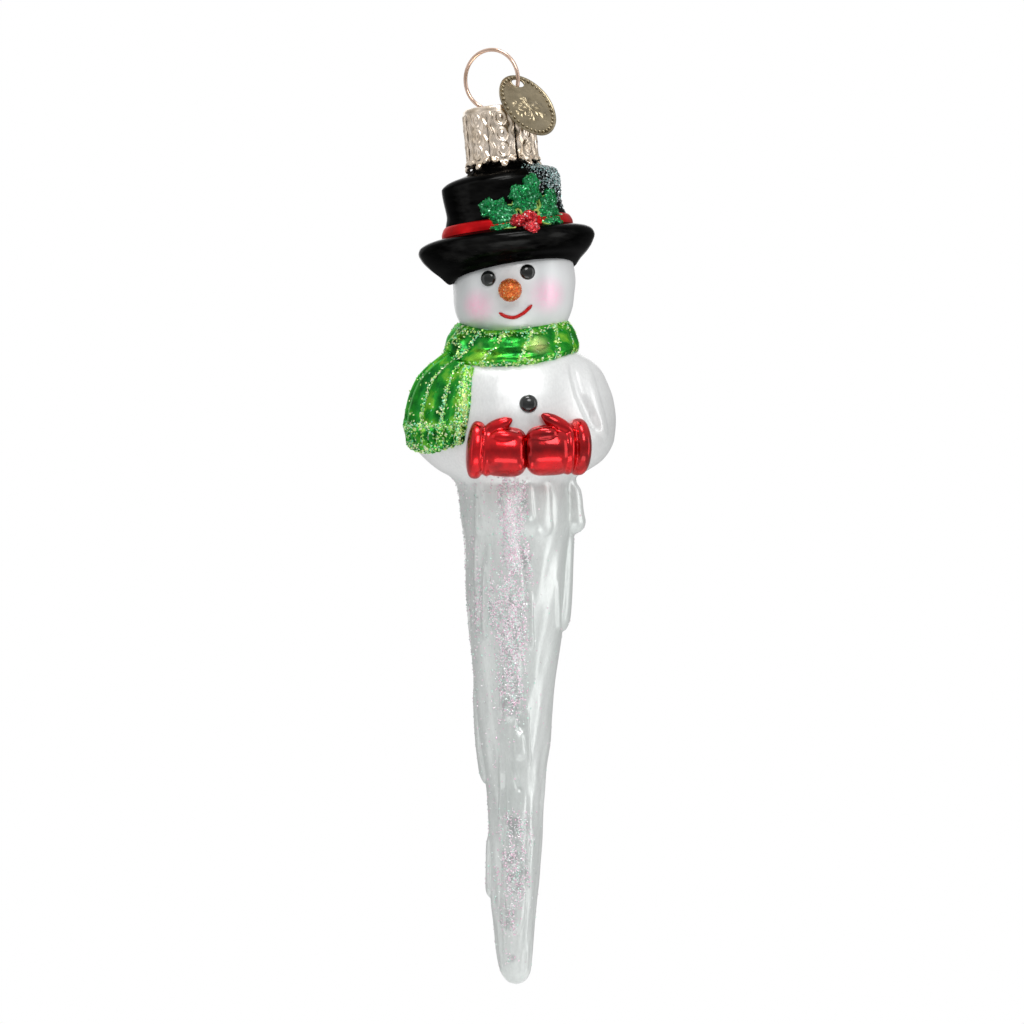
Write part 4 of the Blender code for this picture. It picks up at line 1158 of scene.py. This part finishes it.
CANDY_RED = lacquer("candy_red", (0.3, 0.001, 0.003), (0.8, 0.004, 0.009), 0.21, 0.95, 0.6)
RIBBON_RED = lacquer("ribbon_red", (0.36, 0.002, 0.004), (0.66, 0.006, 0.009), 0.32, 0.8, 0.12)
CANDY_GREEN = scarf_paint()
SILVER = stamped_metal("silvered_glass", (0.86, 0.87, 0.86), (0.66, 0.68, 0.68), 0.16)
BLACK_ENAMEL = enamel("black_enamel_drop", (0.003, 0.004, 0.004), (0.012, 0.014, 0.013), 0.15, 1.2, 0.9, 0.03)
RED_ENAMEL = enamel("red_enamel_line", (0.36, 0.006, 0.006), (0.66, 0.012, 0.012), 0.3, 2.5)
LIME = enamel("lime_line", (0.06, 0.25, 0.03), (0.5, 0.62, 0.14), 0.35, 1)

body, hat, scarf, tail = body_shape(), hat_shape(), scarf_shape(), tail_shape()
on_figure("frosted_body", body, body_paint(), smooth=75)
on_figure("head", head_shape(), head_paint())
on_figure("top_hat", hat, hat_paint(), smooth=70)
on_figure("hat_ribbon", band_shape(), RIBBON_RED)
on_figure("glass_neck", neck_shape(), SILVER)
on_figure("scarf_wrap", scarf, CANDY_GREEN, smooth=75)
on_figure("scarf_tail", tail, CANDY_GREEN, smooth=75)
for name, lumps in MITTENS.items():
    on_figure(name, mitten_shape(*lumps), CANDY_RED, smooth=80)

for name, across, height in (("left_eye", -3.8, -5.45), ("right_eye", 2.75, -5.2)):
    on_figure(name + "_bead", dome(1.3, 0.72, head_frame(across, height)), BLACK_ENAMEL, name)
nose = ball((0, -0.75, 0), (1.88, 1.9, 1.88), 40, 60, head_frame(-0.45, -7.8))
NOSE = glittered("orange_glitter_coat", (0.6, 0.06, 0.01), (0.9, 0.3, 0.06), 6, 0.7)
on_figure("nose_bead", nose, NOSE, "nose")
mouth_along = np.linspace(-2.75, 2.85, 40)
mouth_up = curve_through(mouth_along, (-2.75, -1.7, -0.4, 1.1, 2.85), (-11.25, -12, -12.35, -11.9, -10.65))
mouth_width = 0.29 * np.clip(np.sin(np.linspace(0.06, pi - 0.06, 40)) * 4, 0.3, 1)
mouth = sweep(moved(head_surface(mouth_along, mouth_up, 0.12), HEAD), mouth_width)
on_figure("mouth_line", mouth, RED_ENAMEL, "mouth")
button_turn = asin((6.1 - 3.6) / 17)
button_frame = facing(body_points(np.array(button_turn), np.array(-59)), (sin(button_turn) * 0.6, -1, 0.12))
on_figure("coat_button_bead", dome(1.52, 1.15, button_frame), BLACK_ENAMEL, "coat_button")

# ---- glitter and holly

WHITE = (0.95, 0.97, 0.96)
ICE_GLITTER = flake_paint("ice_glitter", (
    (0, WHITE), (0.34, (0.93, 0.6, 0.76)), (0.5, (0.97, 0.86, 0.92)), (0.62, (0.6, 0.9, 0.78)), (0.8, WHITE),
    (0.93, (0.7, 0.72, 0.74))), 0.3, 0.25)
GREEN_GLITTER = flake_paint("pale_green_glitter", (
    (0, (0.85, 0.96, 0.45)), (0.22, (0.2, 0.7, 0.08)), (0.42, (0.6, 0.88, 0.2)), (0.62, (0.93, 0.97, 0.7)),
    (0.78, (0.05, 0.5, 0.14)), (0.9, (0.3, 0.85, 0.5))), 0.3, 0.4)
HOLLY_GLITTER = flake_paint("holly_glitter", (
    (0, (0.001, 0.10, 0.02)), (0.4, (0.001, 0.22, 0.045)), (0.78, (0.002, 0.34, 0.08)),
    (0.96, (0.35, 0.85, 0.55))), 0.3, 0.8, 0.06)
BERRY_GLITTER = flake_paint("red_glitter", (
    (0, (0.4, 0.004, 0.012)), (0.5, (0.85, 0.02, 0.03)), (0.82, (0.9, 0.12, 0.14)), (0.95, (0.98, 0.7, 0.7))))
NOSE_GLITTER = flake_paint("orange_flakes", (
    (0, (0.6, 0.04, 0.01)), (0.45, (0.85, 0.16, 0.02)), (0.8, (0.95, 0.42, 0.08)), (0.95, (1, 0.85, 0.45))))
FROST_GLITTER = flake_paint("frost_glitter", (
    (0, (0.5, 0.55, 0.56)), (0.3, (0.12, 0.2, 0.2)), (0.55, (0.8, 0.85, 0.85)), (0.75, (0.3, 0.5, 0.48))))


def icicle_weight(low, high):
    """Where glitter lies on the icicle between two heights: patches down front and back, thin elsewhere."""
    def weight(place, normal):
        x, y, z = place.T
        front = smoothstep(0.05, -0.35, normal[:, 1])
        clumps = 0.2 + smoothstep(-0.5, 0.9, ripple(x * 1.9, z, 51, 7, (1, 3), (0.3, 1.2)))
        cover = 0 * x
        for across, height, wide, tall, strength in GLITTER_PATCHES:
            off = np.abs((x - across) / wide) ** 3 + np.abs((z - height) / tall) ** 4
            cover += strength * np.exp(-off) * front
        middle = body_section(z)[0]
        rear = smoothstep(0.1, 0.9, ripple(np.arctan2(y, x - middle), z, 52, 7, (2, 5), (0.1, 0.35)))
        cover += 0.5 * smoothstep(0.1, 0.5, normal[:, 1]) * rear
        thin = 0.03 * smoothstep(2, -3, x - middle) + 0.003
        return (cover * clumps + thin) * (z < high) * (z > low)
    return weight


for part, count, high, low, seed in (("upper", 10500, -71, -108.3, 61), ("lower", 2600, -108.3, -154.5, 63)):
    glitter("icicle_flakes_" + part, body, count, icicle_weight(low, high), seed, ICE_GLITTER,
            "icicle_glitter_" + part, 0.18, 0.35, (4, 0, -100))


def scarf_turn(place):
    """The turn round the neck and the height of places on the scarf."""
    local = moved(place, SCARF.inverted())
    turn = np.arctan2(local[:, 0], -local[:, 1] / SCARF_DEPTH)
    first = local[:, 2] + scarf_sink(turn, local[:, 2])
    return turn, local[:, 2] + scarf_sink(turn, first)


def scarf_weight(first, last):
    """Glitter on the ribs and borders of the wrap, between two turns in degrees."""
    def weight(place, normal):
        turn, height = scarf_turn(place)
        away = rib_places(turn, height)[1]
        reach = knot_reach(turn, height)
        borders = 0.55 * bell(height, 3, 0.5) + 0.9 * bell(height, -3.7, 0.5)
        cover = 1.3 * bell(away, 0, 0.34) + borders + 0.012
        cover = cover * smoothstep(KNOT[2] - 0.4, KNOT[2], reach) + 0.9 * bell(reach, KNOT[2], 0.4)
        behind = smoothstep(radians(-78), radians(-62), wrapped(turn))
        cover = cover * (0.15 + 0.85 * behind + (np.cos(turn) < 0))
        swing = wrapped(turn - radians(first)) % tau
        outside = smoothstep(8, 8.8, np.hypot(*moved(place, SCARF.inverted())[:, :2].T))
        return cover * (swing < radians(last - first)) * outside
    return weight


FLAKES_PER_DEGREE = 11
for number, (first, last) in enumerate(((-90, -26), (-26, 0), (0, 28), (28, 270)), 1):
    glitter(f"scarf_flakes_{number}", scarf, (last - first) * FLAKES_PER_DEGREE, scarf_weight(first, last),
            70 + number, GREEN_GLITTER, f"scarf_glitter_{number}", 0.23, 0.45, SCARF_CENTRE)


def tail_weight(low, high):
    """Glitter down the tail's ribs, right border and fringe, between two shares of its width."""
    def weight(place, normal):
        height = place[:, 2]
        down = np.clip((height + 51.7) / -14.6, 0, 1)
        left, right = tail_sides(down)
        middle, half, depth = body_section(height)
        beside, before = (place[:, 0] - middle) / half, place[:, 1] / depth
        across = (np.arctan2(beside, -before) - left) / (right - left)
        cloth = smoothstep(FRINGE_TOP, FRINGE_TOP - 0.03, down)
        cover = 0.012 + 1.4 * bell(across, 0.955, 0.036)
        for rib in TAIL_RIBS[2:-1]:
            cover += 1.3 * bell(across, rib, 0.02) * (0.25 + cloth)
        cover += 0.7 * bell(down, FRINGE_TOP, 0.03) + 0.26 * (1 - cloth) + 0.5 * bell(down, 1, 0.04)
        outside = smoothstep(0.05, 0.3, np.hypot(beside, before) * 14 - 14)
        return cover * (across >= low) * (across < high) * outside
    return weight


for number, (low, high, count) in enumerate(((-0.1, 0.43, 560), (0.43, 0.7, 560), (0.7, 1.1, 950)), 1):
    glitter(f"tail_flakes_{number}", tail, count, tail_weight(low, high), 80 + number, GREEN_GLITTER,
            f"tail_glitter_{number}", 0.23, 0.45, (0, 5, -60))

HOLLY = glittered("holly_glitter_coat", (0.002, 0.09, 0.03), (0.01, 0.3, 0.09), 4.5, 0.5)
for seed, (name, leaves) in enumerate(LEAVES.items(), 90):
    blades = joined(*[leaf_shape(leaf) for leaf in leaves])
    on_figure(name + "_blade", blades, HOLLY, name)
    on_figure(name + "_edge", joined(*[leaf_edge(leaf) for leaf in leaves]), LIME, name)
    inside = tuple(HEAD @ Vector((leaves[0][0] * 0.5, -4, leaves[0][1])))
    glitter(name + "_flakes", blades, 620, lambda place, normal: 0.1 + (normal[:, 1] < 0.2), seed,
            HOLLY_GLITTER, name, 0.2, 0.5, inside)


def everywhere(place, normal):
    """Glitter all over."""
    return np.ones(len(place))


BERRY = glittered("berry_glitter_coat", (0.3, 0.002, 0.01), (0.7, 0.02, 0.03), 4.5, 0.6)
for seed, (name, spot) in enumerate(BERRIES.items(), 100):
    berry = berry_shape(spot)
    on_figure(name + "_bead", berry, BERRY, name)
    glitter(name + "_flakes", berry, 330, everywhere, seed, BERRY_GLITTER, name, 0.17, 0.5,
            berry[0].mean(0))

glitter("nose_flakes", nose, 700, everywhere, 110, NOSE_GLITTER, "nose", 0.1, 0.35,
        nose[0].mean(0))


def frost_weight(place, normal):
    """Frost on the crown's right shoulder, thinning down its side."""
    x, y, z = moved(place, HEAD.inverted()).T
    turn = np.arctan2(x - 0.2, -y)
    round_crown = bell(turn, radians(66), 0.5) * smoothstep(radians(22), radians(45), turn)
    return round_crown * (bell(z, 11, 2.2) + 0.25 * bell(z, 7.5, 2.5)) * (z > 4.8) * (z < 13)


glitter("hat_frost_flakes", hat, 1500, frost_weight, 120, FROST_GLITTER, "hat_frost",
        0.19, 0.6, tuple(HEAD @ Vector((0.2, 0, 4))))

# ---- cap, wire and tag

GOLD = stamped_metal("champagne_gold_sheet", (0.92, 0.80, 0.68), (0.66, 0.54, 0.40), 0.26, 0.004)
ROSE = stamped_metal("rose_gold_wire_drawn", (0.86, 0.62, 0.5), (0.66, 0.45, 0.33), 0.16, 0.002)
BRASS = stamped_metal("tag_gold_sheet", (0.33, 0.275, 0.18), (0.22, 0.18, 0.11), 0.3)
placed(mesh_object("stamped_cap", cap_shape(), GOLD, 60), "cap", "crown_cap")
placed(mesh_object("spring_wire", wire_shape(), ROSE), "hanger", "hanger_wire")
placed(mesh_object("oval_tag", tag_shape(), BRASS, 60), "tag", "hang_tag")

# ---- camera, lights and floor

AIM = Vector((3.4, 0, -76.7)) * MM
VIEW_HEIGHT = 170.7 * MM
camera_data = bpy.data.cameras.new("camera")
camera_data.lens = 150
camera_data.sensor_width = 36
camera_data.clip_start = 0.01
camera = linked("camera", camera_data)
camera.location = AIM + Vector((0, -VIEW_HEIGHT * camera_data.lens / camera_data.sensor_width, 0))
camera.rotation_euler = (pi / 2, 0, 0)
bpy.context.scene.camera = camera

# Soft area lights aimed at the ornament: place and size in metres, power
SOFTBOXES = {
    "key": ((0.09, -0.48, 0.30), (0.26, 0.26), 1.05), "right strip": ((0.50, -0.14, -0.05), (0.24, 0.6), 0.55),
    "left strip": ((-0.50, -0.14, -0.05), (0.24, 0.6), 0.18), "top": ((-0.05, -0.15, 0.55), (0.3, 0.22), 1.5),
    "under": ((0.05, -0.35, -0.5), (0.5, 0.3), 0.7), "back": ((-0.1, 0.5, 0.1), (0.5, 0.5), 0.5),
}
for name, (place, size, power) in SOFTBOXES.items():
    light = bpy.data.lights.new(name, "AREA")
    light.shape = "ELLIPSE"
    light.size, light.size_y = size
    light.energy = power
    softbox = linked(name, light)
    softbox.location = place
    softbox.rotation_euler = (AIM - softbox.location).to_track_quat("-Z", "Y").to_euler()

# The studio round it: grey walls, lighter above and below, and white where the camera sees them
WALLS = ((0, 0.75), (0.2, 0.7), (0.42, 0.44), (0.5, 0.37), (0.6, 0.47), (0.9, 0.75), (1, 0.75))
world = bpy.data.worlds.new("studio")
world.use_nodes = True
bpy.context.scene.world = world
studio = Nodes(world.node_tree)
upward = studio.node("SeparateXYZ", {0: studio.node("TexCoord", {}, "Generated")}, "Z")
walls = studio.ramp(studio.grey(upward, 0, 1, -1, 1), *((at, (tone, tone, tone)) for at, tone in WALLS))
seen = studio.node("LightPath", {}, "Is Camera Ray")
studio.link(studio.mix(seen, walls, (1, 1, 1)), world.node_tree.nodes["Background"].inputs["Color"])

FLOOR = -190                  # below the icicle's tip when the glass is drawn out of its cap
floor_paint = Paint("pale_floor", (0.85, 0.85, 0.85), 0.6)
floor_paint.finish((0.85, 0.85, 0.85), floor_paint.grey(floor_paint.noise(0.05), 0.5, 0.7))
disc = upright(circle(96)[0], 100, 100, FLOOR)
mesh_object("floor", tube(np.stack([disc, disc - (0, 0, 4)])), floor_paint.material)

bpy.context.scene.view_settings.view_transform = "Standard"
